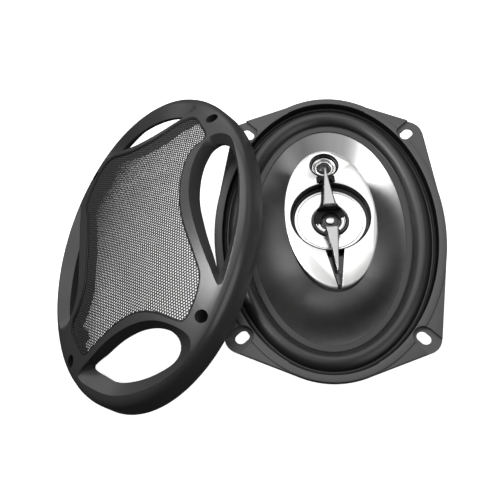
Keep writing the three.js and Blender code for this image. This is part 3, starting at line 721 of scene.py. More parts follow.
@dataclass
class Motor:
    """The magnet between its two steel plates, with the pole that fills the coil."""

    bench: Bench
    yoke_radius: float = 44.0
    pole_radius: float = 11.6
    pole_top: float = 25.6
    bore_radius: float = 4.3
    magnet: tuple[float, float, float, float] = (22.0, 45.0, 5.3, 20.3)
    plate: tuple[float, float, float, float] = (14.3, 42.0, 20.6, 25.6)

    def build(self) -> None:
        """Model the yoke, the magnet and the top plate."""
        self._yoke()
        self._magnet()
        self._top_plate()

    def _yoke(self) -> None:
        """Turn the back plate with its raised pole, blind bore and ring groove."""
        yoke = self.bench.turn("vented_yoke", [
            (self.yoke_radius - 1.5, 0.0), (self.yoke_radius - 0.4, 0.5), (self.yoke_radius, 1.5),
            (self.yoke_radius, 4.5), (self.yoke_radius - 0.5, 5.0), (self.pole_radius + 1.2, 5.0),
            (self.pole_radius, 6.0), (self.pole_radius, self.pole_top - 1.0),
            (self.pole_radius - 1.0, self.pole_top), (self.bore_radius + 0.6, self.pole_top),
            (self.bore_radius, self.pole_top - 0.6), (self.bore_radius, 7.0),
        ], Ends.CAPPED, 128)
        groove = self.bench.turn("groove", [
            (30.0, -1.0), (33.0, -1.0), (32.4, 0.5), (30.6, 0.5),
        ], Ends.LOOP, 128)
        dimple = self.bench.turn("dimple", [(6.5, -1.0), (6.5, 0.2), (5.0, 1.2)], Ends.CAPPED, 64)
        self.bench.cut(yoke, groove, dimple)
        self.bench.finish(yoke, ZINC, "speaker", "back_plate_and_pole")

    def _magnet(self) -> None:
        """Turn the ferrite ring with its ground chamfers."""
        bore, radius, low, high = self.magnet
        ring = self.bench.turn("ferrite_ring", [
            (bore, low), (radius - 1.3, low), (radius - 0.3, low + 0.5), (radius, low + 1.4),
            (radius, high - 1.4), (radius - 0.3, high - 0.5), (radius - 1.3, high), (bore, high),
        ], Ends.LOOP, 128)
        self.bench.finish(ring, FERRITE, "speaker", "magnet_ring")

    def _top_plate(self) -> None:
        """Turn the top plate and drill it for the rivets."""
        bore, radius, low, high = self.plate
        plate = self.bench.turn("stamped_top_plate", [
            (bore, low), (radius - 0.5, low), (radius, low + 0.5), (radius, high - 1.0),
            (radius - 0.4, high - 0.3), (radius - 1.1, high), (bore + 0.4, high), (bore, high - 0.4),
        ], Ends.LOOP, 128)
        self.bench.cut(plate, *rivet_drills(self.bench, low - 1.0, high + 1.0))
        self.bench.finish(plate, ZINC, "speaker", "top_plate")


def rivet_places() -> list[Point2]:
    """Return the centres of the four rivets that hold the basket on the motor."""
    return arc((0.0, 0.0), 33.0, 45.0, 315.0, 3)


def rivet_drills(bench: Bench, low: float, high: float) -> list[Piece]:
    """Return a drill between two heights for each of those rivets."""
    drills = []
    for x, y in rivet_places():
        tool = bench.turn("drill", [(2.1, low), (2.1, high)], Ends.CAPPED, 32)
        drills.append(bench.place(tool, shifted(x, y)))
    return drills


# ---------------------------------------------------------------- basket


@dataclass
class Basket:
    """The stamped steel basket: motor cup, ventilated skirt, oval flange and four screw ears."""

    bench: Bench
    half_width: float = 82.0
    half_length: float = 118.0
    rim: float = 88.0
    web: float = 87.0
    underside: float = 84.5
    aperture: Point2 = (76.3, 112.3)
    ledge: float = 81.6
    ear: Point2 = (60.0, 85.0)
    ear_radius: float = 12.0
    pad_height: float = 85.2
    window_count: int = 12

    def build(self) -> None:
        """Model the basket and the rivets in its floor."""
        self._shell()
        self._rivets()

    def _shell(self) -> None:
        """Sweep the skirt, add the flange and cut the ears, windows and rivet holes."""
        a, b = self.half_width, self.half_length
        inner_a, inner_b = self.aperture
        skirt = self.bench.sweep("stamped_basket", [
            (18, 18, 25.9), (39.2, 39.2, 25.9), (40, 40, 26.7), (40, 40, 36.8), (40.7, 40.7, 37.6),
            (46, 46, 37.8), (46.9, 46.9, 38.6), (47.2, 47.2, 40.5), (58.9, 76.1, 59.0), (70.5, 105, 77.5),
            (72.4, 107.4, 78.9), (78.0, 114.4, 79.6), (78.6, 115, 80.3), (78.6, 115, self.underside),
            (a - 0.4, b - 0.4, self.underside), (a, b, self.underside + 0.4), (a, b, self.rim - 0.7),
            (a - 0.25, b - 0.25, self.rim - 0.2), (a - 0.8, b - 0.8, self.rim),
            (inner_a + 0.7, inner_b + 0.7, self.rim), (inner_a + 0.15, inner_b + 0.15, self.rim - 0.2),
            (inner_a, inner_b, self.rim - 0.7), (inner_a, inner_b, self.ledge),
            (70.8, 107.8, self.ledge), (68.6, 102.8, 78.8), (56.9, 74, 60.2), (45.2, 45.2, 41.6),
            (45, 45, 39.8), (38, 38, 39.4), (38, 38, 28.5), (37.2, 37.2, 27.7), (18, 18, 27.7),
        ])
        flange = self.bench.slab("flange", self._flange_outline(), self.underside, self.web)
        self.bench.soften(flange, 0.5)
        opening = self.bench.sweep("opening", [(79, 115.2, 80), (79, 115.2, 92)], Ends.CAPPED)
        self.bench.cut(flange, opening)
        self.bench.join(skirt, flange)
        tools = [self._ear_pad(sx, sy) for sx, sy in CORNERS]
        tools += [self._ear_slot(sx, sy) for sx, sy in CORNERS]
        for i in range(self.window_count):
            tools.append(self._window((i + 0.5) / self.window_count * math.tau))
        tools += rivet_drills(self.bench, 24.9, 28.7)
        self.bench.cut(skirt, *tools)
        self.bench.finish(skirt, BASKET_PAINT, "speaker", "basket", angle=28.0)
        # Painted shade: the rim's inner wall and ledge take a near-black finish for the groove's shadow.
        self._paint_rim_wall_shade(skirt)

    def _paint_rim_wall_shade(self, skirt: Piece) -> None:
        """Paint shade on the rim's inner wall and the ledge at its foot: a near-black second finish
        stands in for the shadow in the groove.
        """
        skirt.data.materials.append(self.bench.painter.material(GROOVE_PAINTED_SHADE))
        a, b = self.aperture
        for face in skirt.data.polygons:
            x, y, z = face.center / MM
            inside = math.hypot(x / (a + 0.4), y / (b + 0.4)) < 1.0
            if inside and z > self.ledge - 0.2:
                face.material_index = 1

    def _flange_outline(self) -> list[Point2]:
        """Return the oval and the four ears, wrapped by straight tangents."""
        turns = [i / Bench.OVAL * math.tau for i in range(Bench.OVAL)]
        cloud = [(self.half_width * math.cos(t), self.half_length * math.sin(t)) for t in turns]
        for sx, sy in CORNERS:
            cloud += arc((sx * self.ear[0], sy * self.ear[1]), self.ear_radius, 0.0, 360.0, 72)[:-1]
        return convex_hull(cloud)

    def _ear_pad(self, sx: int, sy: int) -> Piece:
        """Return the tool for a screw pad: round inside, open at the ear's outer corner."""
        radius, reach = 7.6, 16.0
        outline = arc((0.0, 0.0), radius, 90.0, 270.0, 24) + [(reach, -radius), (reach, radius)]
        tool = self.bench.slab("pad", outline, self.pad_height, 91.0)
        return self._at_ear(tool, sx, sy)

    def _ear_slot(self, sx: int, sy: int) -> Piece:
        """Return the tool for a screw slot, long towards the ear's outer corner."""
        half_width, reach = 3.75, 1.5
        outline = arc((reach, 0.0), half_width, -90.0, 90.0, 16)
        outline += arc((-reach, 0.0), half_width, 90.0, 270.0, 16)
        return self._at_ear(self.bench.slab("slot", outline, 80.0, 92.0), sx, sy)

    def _at_ear(self, tool: Piece, sx: int, sy: int) -> Piece:
        """Turn a tool towards an ear's corner and move it there."""
        there = shifted(sx * self.ear[0], sy * self.ear[1])
        return self.bench.place(tool, there @ Matrix.Rotation(math.atan2(sy, sx), 4, "Z"))

    def _window(self, t: float) -> Piece:
        """Return the tool for one ventilation window, driven outwards through the skirt.

        Args:
            t: where the window lies round the oval, in radians.

        Returns:
            The cutter.
        """
        half_width, half_height, corner, middle = 12.0, 13.0, 4.0, 60.0
        x, y = half_width - corner, half_height - corner
        outline: list[Point2] = []
        for quarter, (sx, sy) in enumerate(CORNERS):
            outline += arc((sx * x, sy * y), corner, 90 * quarter, 90 * (quarter + 1), 6)
        tool = self.bench.slab("window", outline, 0.0, 90.0)
        a, b, start = 57.0, 72.0, 24.0
        heading = math.atan2(a * math.sin(t), b * math.cos(t))
        out = Vector((math.cos(heading), math.sin(heading), 0.0))
        across = Vector((-out.y, out.x, 0.0))
        up = Vector((0.0, 0.0, 1.0))
        turn = Matrix((across, up, out)).transposed().to_4x4()
        foot = Vector((a * math.cos(t), b * math.sin(t), middle)) - start * out
        return self.bench.place(tool, Matrix.Translation(foot * MM) @ turn)

    def _rivets(self) -> None:
        """Turn one domed rivet and copy it to the four holes."""
        model = self.bench.turn("basket_fastener_1", [
            (1.8, 20.9), (1.8, 28.0), (3.0, 28.0), (3.2, 28.2), (3.15, 28.6), (2.7, 29.05),
            (1.9, 29.3), (0.9, 29.4), (0.0, 29.4),
        ], Ends.CAPPED, 32)
        places = rivet_places()
        others = range(2, len(places) + 1)
        rivets = [model] + [self.bench.copy(model, f"basket_fastener_{i}") for i in others]
        for i, (rivet, (x, y)) in enumerate(zip(rivets, places), start=1):
            self.bench.place(rivet, shifted(x, y))
            self.bench.finish(rivet, ZINC, "speaker", f"basket_rivet_{i}")


def convex_hull(cloud: Sequence[Point2]) -> list[Point2]:
    """Return the corners of the smallest convex outline round a cloud of points."""
    ordered = sorted(set(cloud))

    def chain(points: Sequence[Point2]) -> list[Point2]:
        """Return one side of the hull."""
        hull: list[Point2] = []
        for x, y in points:
            while len(hull) > 1:
                (ox, oy), (px, py) = hull[-2], hull[-1]
                if (px - ox) * (y - oy) - (py - oy) * (x - ox) > 1e-6:
                    break
                hull.pop()
            hull.append((x, y))
        return hull[:-1]

    return chain(ordered) + chain(ordered[::-1])


# ---------------------------------------------------------------- woofer


@dataclass
class Woofer:
    """The moving cone and coil, with the rolled surround and the spider that guide it."""

    bench: Bench
    mouth: Point2 = (53.8, 89.5)
    mouth_height: float = 81.8
    neck_radius: float = 13.2
    neck_height: float = 46.0
    roll: Point2 = (5.3, 18.5)
    roll_rise: float = 5.0
    rim_spread: float = 21.8

    def build(self) -> None:
        """Model the cone, coil, surround, clamp ring and spider."""
        self._cone()
        self._coil()
        self._surround()
        self._clamp_ring()
        self._spider()

    def mouth_at(self, spread: float) -> Point2:
        """Return the half width and half length of an oval that lies outside the mouth."""
        return (self.mouth[0] + spread, self.mouth[1] + 1.03 * spread)

    def _cone(self) -> None:
        """Sweep the curved cone with its turned-out lip."""
        steps, wall = 14, 1.1
        inside: list[Point3] = []
        outside: list[Point3] = []
        for i in range(steps + 1):
            t = i / steps
            a = self.neck_radius + (self.mouth[0] - self.neck_radius) * t
            b = self.neck_radius + (self.mouth[1] - self.neck_radius) * t
            z = self.neck_height + (self.mouth_height - self.neck_height) * t**0.86
            inside.append((a, b, z))
            outside.insert(0, (a + wall * 0.7, b + wall * 0.5, z - wall))
        lip = self.mouth_at(4.8)
        cone = self.bench.sweep("pressed_cone", [
            *inside, (*lip, self.mouth_height), (*lip, self.mouth_height - wall), *outside,
        ], Ends.LOOP, 192)
        self.bench.finish(cone, CONE_FILM, "woofer", "woofer_cone", angle=15.0)

    def _coil(self) -> None:
        """Turn the film former and the winding round its lower end."""
        former = self.bench.turn("film_former", [
            (12.2, 16.0), (12.8, 16.0), (12.8, 47.6), (12.2, 47.6),
        ])
        self.bench.finish(former, FORMER_FILM, "woofer", "voice_coil_former")
        winding = self.bench.turn("wound_coil", [
            (13.1, 16.5), (13.5, 16.5), (13.7, 16.7), (13.7, 29.3), (13.5, 29.5), (13.1, 29.5),
        ])
        self.bench.finish(winding, COPPER, "woofer", "voice_coil")

    def _surround(self) -> None:
        """Sweep the half roll with its glued lips."""
        start, end = self.roll
        base, top, skin, steps, rim = 82.1, 82.7, 0.8, 24, self.rim_spread
        upper: list[Point3] = []
        under: list[Point3] = []
        for i in range(steps + 1):
            t = i / steps
            oval = self.mouth_at(start + (end - start) * t)
            rise = math.sin(math.pi * t) ** 0.66 * self.roll_rise
            upper.append((*oval, top + rise))
            if 0 < i < steps:
                under.insert(0, (*oval, top + rise - skin))
        surround = self.bench.sweep("rolled_surround", [
            (*self.mouth_at(0.05), top - 0.25), (*self.mouth_at(0.35), top),
            (*self.mouth_at(start - 0.9), top), (*self.mouth_at(start - 0.45), top - 0.3), *upper,
            (*self.mouth_at(rim), top), (*self.mouth_at(rim), base), (*self.mouth_at(end), base), *under,
            (*self.mouth_at(start), base), (*self.mouth_at(0.05), base),
        ], Ends.LOOP, 192)
        self.bench.finish(surround, ROLL_RUBBER, None, "rubber_surround")
        bend_radially(surround, self._roll_weight)

    def _roll_weight(self, point: Vector) -> float:
        """Return how far a point of the surround follows the cone."""
        start, end = self.roll
        heading = math.atan2(point.y / self.mouth[1], point.x / self.mouth[0])
        radius = math.hypot(point.x, point.y)
        inner = self._radius_at(heading, start)
        outer = self._radius_at(heading, end)
        return 1.0 - smoothstep((radius - inner) / (outer - inner))

    def _radius_at(self, heading: float, spread: float) -> float:
        """Return the distance from the axis of an oval outside the mouth."""
        a, b = self.mouth_at(spread)
        return math.hypot(a * math.cos(heading), b * math.sin(heading))

    def _clamp_ring(self) -> None:
        """Sweep the pressed ring that holds the surround's outer lip down."""
        inner, outer = self.mouth_at(19.3), self.mouth_at(self.rim_spread)
        ring = self.bench.sweep("clamp_ring", [
            (*inner, 83.1), (*outer, 83.1), (*outer, 83.4), (outer[0] - 0.7, outer[1] - 0.7, 83.9),
            (outer[0] - 1.2, outer[1] - 1.2, 84.1), (inner[0] + 0.8, inner[1] + 0.8, 84.1),
            (inner[0] + 0.3, inner[1] + 0.3, 83.9),
        ])
        self.bench.finish(ring, GASKET_RUBBER, "speaker", "gasket_ring")

    def _spider(self) -> None:
        """Turn the corrugated cloth."""
        inner, outer, middle, skin = 13.1, 44.0, 40.9, 0.5
        start, end, waves, steps = 15.5, 37.5, 6, 48
        top: list[Point2] = []
        for i in range(steps + 1):
            t = i / steps
            swell = 0.5 - 0.5 * math.cos(math.tau * waves * t)
            top.append((start + (end - start) * t, middle + 1.1 * swell))
        under = [(r, z - skin) for r, z in top]
        spider = self.bench.turn("corrugated_spider", [
            (inner, middle - skin), *under, (outer, middle - skin), (outer, middle), *top[::-1],
            (inner, middle),
        ], Ends.LOOP, 96)
        self.bench.finish(spider, SPIDER_CLOTH, None, "spider")
        bend_radially(spider, round_weight(start, end))


# ---------------------------------------------------------------- terminals and wiring


@dataclass
class Terminals:
    """The sloping board with its two lugs, and the braided leads that run to the cone's neck."""

    bench: Bench
    width: float = 26.0
    height: float = 15.0
    thickness: float = 1.6
    foot: Point3 = (59.6, 0.0, 58.0)
    rivet_x: float = -2.0
    rivet_y: float = 8.5
    bracket: Matrix = field(init=False)

    def build(self) -> None:
        """Model the board, lugs, rivets and leads."""
        slope = Matrix.Rotation(math.atan2(23.3, 37.0), 4, "Y")
        self.bracket = shifted(*self.foot) @ slope
        self._board()
        for name, side, half in (("positive", 1, 3.15), ("negative", -1, 2.4)):
            self._lug(name, side * self.rivet_y, half)
            self._rivet(name, side * self.rivet_y)
        for name, side in (("positive", 1), ("negative", -1)):
            self._lead(name, side)

    def _standing(self, piece: Piece) -> Piece:
        """Turn a piece modelled flat so that its Z runs out of the board, and put it on the bracket."""
        upright = Matrix(((0, 0, 1, 0), (0, 1, 0, 0), (-1, 0, 0, 0), (0, 0, 0, 1)))
        return self.bench.place(piece, self.bracket @ upright)

    def _board(self) -> None:
        """Cut the board from pressed sheet, with clipped corners and two rivet holes."""
        w, h, clip = self.width / 2, self.height / 2, 1.6
        outline = [(-h + clip, -w), (h - clip, -w), (h, -w + clip), (h, w - clip), (h - clip, w),
                   (-h + clip, w), (-h, w - clip), (-h, -w + clip)]
        board = self.bench.slab("terminal_sheet", outline, 0.0, self.thickness)
        self.bench.soften(board, 0.2)
        drills = [self._drill(y, -1.0, self.thickness + 1.0) for y in (-self.rivet_y, self.rivet_y)]
        self.bench.cut(board, *drills)
        self.bench.finish(self._standing(board), FIBRE_BOARD, "speaker", "terminal_board")

    def _drill(self, y: float, low: float, high: float) -> Piece:
        """Return a drill that runs through the board."""
        tool = self.bench.turn("drill", [(1.5, low), (1.5, high)], Ends.CAPPED, 24)
        return self.bench.place(tool, shifted(self.rivet_x, y))

    def _lug(self, name: str, y: float, half: float) -> None:
        """Fold a lug: a base under the rivet and a tapered tab with a hole.

        Args:
            name: which terminal.
            y: where it stands on the board.
            half: half its width.
        """
        low = self.thickness + GAP
        base = self.bench.slab("lug_base", rectangle(-5.0, 4.0, y - half, y + half), low, low + 0.8)
        tab = self.bench.loft("lug_tab", [
            [(x0, y - reach, z), (x1, y - reach, z), (x1, y + reach, z), (x0, y + reach, z)]
            for x0, x1, reach, z in (
                (4.0, 4.8, half, low), (4.0, 4.8, half, low + 9.2), (4.2, 4.6, half - 0.9, low + 11),
            )
        ])
        lug = self.bench.join(base, tab)
        self.bench.cut(lug, self._drill(y, 0.0, 6.0), self._tab_hole(y, low + 6.6))
        self.bench.soften(lug, 0.12)
        lug.name = f"brass_lug_{name}"
        self.bench.finish(self._standing(lug), BRASS, "speaker", f"terminal_{name}")

    def _tab_hole(self, y: float, height: float) -> Piece:
        """Return the punch for the small hole in a tab."""
        tool = self.bench.turn("punch", [(0.85, -2.0), (0.85, 2.0)], Ends.CAPPED, 24)
        flat = Matrix.Rotation(math.pi / 2, 4, "Y")
        return self.bench.place(tool, shifted(4.4, y, height) @ flat)

    def _rivet(self, name: str, y: float) -> None:
        """Turn the rolled rivet that holds a lug."""
        rivet = self.bench.turn(f"lug_rivet_{name}", [
            (1.2, 0.0), (1.2, 3.1), (2.1, 3.1), (2.2, 3.3), (2.0, 3.7), (1.5, 3.8), (0.9, 3.6),
            (0.0, 3.4),
        ], Ends.CAPPED, 24)
        self.bench.place(rivet, shifted(self.rivet_x, y))
        self.bench.finish(self._standing(rivet), ZINC, "speaker", f"terminal_{name}_rivet")

    def _lead(self, name: str, side: int) -> None:
        """Sweep one twisted lead from the board to the cone's neck.

        Args:
            name: which terminal it serves.
            side: 1 for the far side, -1 for the near side.
        """
        route = [(61, 15.2, 57.5), (57, 15.4, 55.5), (50, 14.5, 51), (41, 12.5, 47.6), (31, 9.5, 45.4),
                 (22, 6.8, 44.2), (15.2, 4.4, 43.8)]
        spine = catmull_rom([Vector((x, y * side, z)) for x, y, z in route], 14)
        lobes, depth, radius, twist = 6, 0.12, 0.86, 0.55
        rings = []
        for i, point in enumerate(spine):
            ahead = (spine[min(i + 1, len(spine) - 1)] - spine[max(i - 1, 0)]).normalized()
            aside = ahead.cross(Vector((0.0, 0.0, 1.0))).normalized()
            above = aside.cross(ahead)
            ring = []
            for k in range(24):
                t = k / 24 * math.tau
                reach = radius * (1.0 - depth + depth * math.cos(lobes * (t + twist * i)))
                ring.append(point + reach * (math.cos(t) * aside + math.sin(t) * above))
            rings.append(ring)
        lead = self.bench.loft(f"twisted_lead_{name}", rings)
        self.bench.finish(lead, TINSEL, None, f"tinsel_lead_{name}", angle=50.0)
        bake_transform(lead)


def catmull_rom(points: Sequence[Vector], steps: int) -> list[Vector]:
    """Return points of an open smooth curve through the given points.

    Args:
        points: the points that the curve passes.
        steps: stretches between two of them.

    Returns:
        The curve's points, both ends included.
    """
    ends = [points[0] * 2 - points[1], *points, points[-1] * 2 - points[-2]]
    curve: list[Vector] = []
    for i in range(1, len(ends) - 2):
        p0, p1, p2, p3 = ends[i - 1 : i + 3]
        for k in range(steps):
            t = k / steps
            curve.append(0.5 * (2 * p1 + (p2 - p0) * t + (2 * p0 - 5 * p1 + 4 * p2 - p3) * t**2
                                + (3 * p1 - p0 - 3 * p2 + p3) * t**3))
    curve.append(points[-1].copy())
    return curve


@dataclass
class Crossover:
    """The small capacitor that feeds the tweeters, glued under the terminal board."""

    bench: Bench
    radius: float = 5.0
    length: float = 17.0
    centre: Point3 = (57.0, 0.0, 42.0)

    def build(self) -> None:
        """Turn the sleeved can with its shrunk ends and wire legs."""
        half, r = self.length / 2, self.radius
        can = self.bench.turn("sleeved_capacitor", [
            (r - 1.6, -half + 0.4), (r - 1.5, -half), (r - 0.5, -half), (r, -half + 0.6),
            (r, -half + 1.6), (r - 0.3, -half + 2.3), (r - 0.3, -half + 2.9), (r, -half + 3.5),
            (r, half - 0.6), (r - 0.5, half), (r - 1.5, half), (r - 1.6, half - 0.4),
        ], Ends.CAPPED, 48)
        legs = self.bench.turn("legs", [(0.5, -half - 6.0), (0.5, half + 6.0)], Ends.CAPPED, 16)
        self.bench.join(can, legs)
        self.bench.place(can, shifted(*self.centre) @ Matrix.Rotation(-math.pi / 2, 4, "X"))
        self.bench.finish(can, SLEEVE, "speaker", "crossover_capacitor")


# ---------------------------------------------------------------- tweeter pod


@dataclass
class Pod:
    """The oval chrome pod: midrange dish, hub tweeter, small tweeter and the two pointers."""

    bench: Bench
    turn_angle: float = 4.9
    half_width: float = 31.9
    half_length: float = 56.6
    top: float = 102.8
    skin: float = 1.8
    well_radius: float = 28.2
    small_y: float = 43.3
    small_radius: float = 10.6
    turned: Matrix = field(init=False)

    def build(self) -> None:
        """Model every piece of the pod."""
        self.turned = Matrix.Rotation(math.radians(self.turn_angle), 4, "Z")
        self._housing()
        self._face_plate()
        self._collar()
        self._fairings()
        self._post_and_bracket()
        self._midrange()
        self._hub()
        self._small_tweeter()
        self._pointers()

    def _mount(self, piece: Piece, finish: Finish, body: Optional[str], node: str,
               angle: float = 32.0) -> Piece:
        """Turn a piece with the pod, then finish it."""
        return self.bench.finish(self.bench.place(piece, self.turned), finish, body, node, angle=angle)

    def _well(self, radius: float, low: float, segments: int = 96) -> Piece:
        """Return a round cutter on the axis."""
        return self.bench.turn("well", [(radius, low), (radius, self.top + 5)], Ends.CAPPED, segments)

    def _small_well(self, low: float) -> Piece:
        """Return the round cutter of the small tweeter."""
        tool = self._well(self.small_radius, low, 64)
        return self.bench.place(tool, shifted(0.0, self.small_y))

    def _slot(self, low: float) -> Piece:
        """Return the cutter of the V slot at the tip."""
        outline = [(-6.7, -26.0), (-1.1, -58.0), (1.1, -58.0), (6.7, -26.0)]
        return self.bench.slab("slot", outline, low, self.top + 5)

    def _neck(self, low: float) -> Piece:
        """Return the cutter of the notch between the two wells."""
        return self.bench.slab("neck", rectangle(-5.4, 5.4, 26.0, 36.0), low, self.top + 5)

    def _housing(self) -> None:
        """Sweep the black moulded back of the pod and hollow it for the drivers."""
        a, b = self.half_width - 1.2, self.half_length - 1.2
        roof = self.top - self.skin - GAP
        housing = self.bench.sweep("moulded_pod", [
            (8.5, 8.5, 80), (10, 10, 84), (12.5, 16, 85.2), (20, 32, 86.0), (26.5, 46, 88.6),
            (29.6, 53.4, 91.2), (a, b, 93.4), (a, b, roof - 0.3), (a - 0.3, b - 0.3, roof),
        ], Ends.CAPPED, 128)
        post_hole = self.bench.turn("post_hole", [(4.3, 78), (4.3, 87.0)], Ends.CAPPED, 48)
        pocket = self.bench.turn("pocket", [(14.9, 87.5), (14.9, self.top + 5)], Ends.CAPPED, 64)
        tools = [self._well(self.well_radius, 94.5), pocket, post_hole, self._small_well(95)]
        tools += [self._slot(98), self._neck(98)]
        self.bench.cut(housing, *tools)
        self._mount(housing, BLACK_PLASTIC, "speaker", "pod_housing")

    def _face_plate(self) -> None:
        """Sweep the chrome plate, cut its wells and round its edges."""
        a, b, top = self.half_width, self.half_length, self.top
        bottom = top - self.skin
        plate = self.bench.sweep("chrome_plate", [
            (a - 0.3, b - 0.3, bottom), (a, b, bottom + 0.3), (a, b, top - 0.7),
            (a - 0.25, b - 0.25, top - 0.25), (a - 0.8, b - 0.8, top),
        ], Ends.CAPPED)
        low = bottom - 2
        tools = [self._well(self.well_radius, low), self._small_well(low)]
        tools += [self._slot(low), self._neck(low)]
        self.bench.cut(plate, *tools)
        self.bench.soften(plate, 0.3)
        self._mount(plate, MIRROR_CHROME, "speaker", "pod_face_plate")

    def _collar(self) -> None:
        """Turn the black collar that lines the midrange's well up to the plate."""
        outer, inner, top = self.well_radius - 0.08, self.well_radius - 1.05, self.top - 0.08
        collar = self.bench.turn("well_collar", [
            (inner, 98.6), (outer, 97.9), (outer, top), (inner + 0.25, top), (inner, top - 0.25),
        ], Ends.LOOP, 128)
        self._mount(collar, MATT_BLACK, "speaker", "pod_housing")

    def _fairings(self) -> None:
        """Loft the two black fairings that carry the pointers and lay the hood round the hub."""
        floor, roof, hub_top = 98.7, 103.4, 97.65
        for name, low, high, foot, rounding in (
            ("upper_fairing",
             [(9.5, 7.6), (7.0, 10.4), (5.4, 13.6), (4.5, 19.5), (3.7, 25.5), (3.3, 28.3)],
             [(4.2, 7.6), (4.0, 10.4), (3.8, 13.6), (3.2, 19.5), (2.6, 25.5), (2.3, 28.3)],
             rectangle(-8.0, 8.0, 7.8, 9.4), 0.25),
            ("lower_fairing",
             [(6.0, -10.6), (4.6, -13.2), (3.9, -17.5), (3.2, -21.5)],
             [(3.9, -10.6), (3.6, -13.2), (3.1, -17.5), (2.6, -20.9)],
             rectangle(-4.5, 4.5, -11.6, -10.7), 0.2),
        ):
            fairing = self._fairing(name, low, high, floor, roof)
            self.bench.join(fairing, self.bench.slab("foot", foot, hub_top, floor + 0.2))
            self.bench.soften(fairing, rounding)
            self._mount(fairing, MATT_BLACK, "speaker", "tweeter_hub")
        outline = arc((0.0, 0.0), 11.2, 14.0, 192.0, 40) + arc((0.0, 0.0), 6.3, 192.0, 14.0, 30)
        hood = self.bench.slab("hub_hood", outline, 97.2, 97.6)
        self._mount(hood, MATT_BLACK, "speaker", "tweeter_hub")

    def _fairing(self, name: str, low: Sequence[Point2], high: Sequence[Point2], floor: float,
                 roof: float) -> Piece:
        """Loft a fairing that is the same on both sides of the pod's middle line.

        Args:
            name: the piece's name.
            low: (half width, y) of its lower outline, from one end to the other.
            high: the same for its upper outline.
            floor: height of the lower outline.
            roof: height of the upper outline.

        Returns:
            The fairing.
        """
        rings = []
        for outline, height in ((low, floor), (high, roof)):
            right = [(half, y, height) for half, y in outline]
            rings.append(right + [(-half, y, height) for half, y in reversed(outline)])
        return self.bench.loft(name, rings)

    def _post_and_bracket(self) -> None:
        """Model the centre post, the grey wedge in the slot and the bracket under the upper pointer."""
        post = self.bench.turn("centre_post", [
            (3.5, 7.4), (4.0, 7.9), (4.0, 86.1), (3.5, 86.6),
        ], Ends.CAPPED, 48)
        self.bench.finish(post, ZINC, "speaker", "pod_post")
        wedge = self.bench.loft("tip_wedge", [
            [(-2.6, -45.4, 98.3), (-0.8, -55.0, 98.3), (0.8, -55.0, 98.3), (2.6, -45.4, 98.3)],
            [(-2.6, -45.4, 101.2), (-0.8, -55.0, 101.8), (0.8, -55.0, 101.8), (2.6, -45.4, 101.2)],
            [(-0.5, -46.6, 102.2), (-0.25, -54.4, 102.4), (0.25, -54.4, 102.4), (0.5, -46.6, 102.2)],
        ])
        self.bench.soften(wedge, 0.15)
        self._mount(wedge, DULL_SILVER, "speaker", "pod_tip_wedge")
        slab, top = self.bench.slab, self.top
        bracket = slab("neck_bracket", rectangle(-5.0, 5.0, 28.6, 32.7), 98.3, top + 0.2)
        pillar = slab("pillar", rectangle(-4.0, 4.0, 29.0, 32.4), 100.0, 103.3)
        notches = []
        for x in (-3.2, 3.2):
            notches.append(slab("notch", rectangle(x - 0.8, x + 0.8, 27.0, 30.0), 100.4, 105.0))
        shelf = slab("shelf", rectangle(-6.7, 6.3, 28.2, 33.4), top + 0.05, top + 0.9)
        self.bench.join(bracket, pillar, shelf)
        self.bench.cut(bracket, *notches)
        self.bench.soften(bracket, 0.25)
        self._mount(bracket, MATT_BLACK, "speaker", "pod_neck_bracket")

    def _midrange(self) -> None:
        """Turn the midrange's magnet, coil, bright dish and small roll."""
        magnet = self.bench.turn("midrange_cap", [
            (3.3, 87.9), (12.0, 87.9), (12.4, 88.3), (12.4, 91.4), (12.0, 91.8), (3.3, 91.8),
        ])
        self._mount(magnet, ZINC, "speaker", "midrange_magnet")
        coil = self.bench.turn("midrange_winding", [
            (13.3, 88.6), (13.9, 88.6), (13.9, 95.4), (13.3, 95.4),
        ])
        self._mount(coil, COPPER, "midrange", "midrange_voice_coil")
        dish = self.bench.turn("bright_dish", [
            (13.3, 95.7), (18.0, 95.9), (24.8, 96.3), (25.2, 96.4), (25.2, 96.9), (24.9, 97.15),
            (24.2, 97.2), (23.5, 97.1), (23.15, 96.75), (22.8, 97.0), (18.0, 96.75), (13.9, 96.45),
            (13.3, 96.3),
        ], Ends.LOOP, 128)
        self._mount(dish, MIRROR_CHROME, "midrange", "midrange_dish", angle=20.0)
        steps, start, width, base, rise = 8, 25.5, 2.4, 96.8, 1.1
        shares = [i / steps for i in range(steps + 1)]
        crest = [(start + width * t, base + rise * math.sin(math.pi * t) ** 0.8) for t in shares]
        inside = [(r, z - 0.5) for r, z in crest]
        roll = self.bench.turn("midrange_roll", [*inside, *crest[::-1]], Ends.LOOP, 128)
        self._mount(roll, SOFT_RUBBER, None, "midrange_surround")
        bend_radially(roll, round_weight(start, start + width))

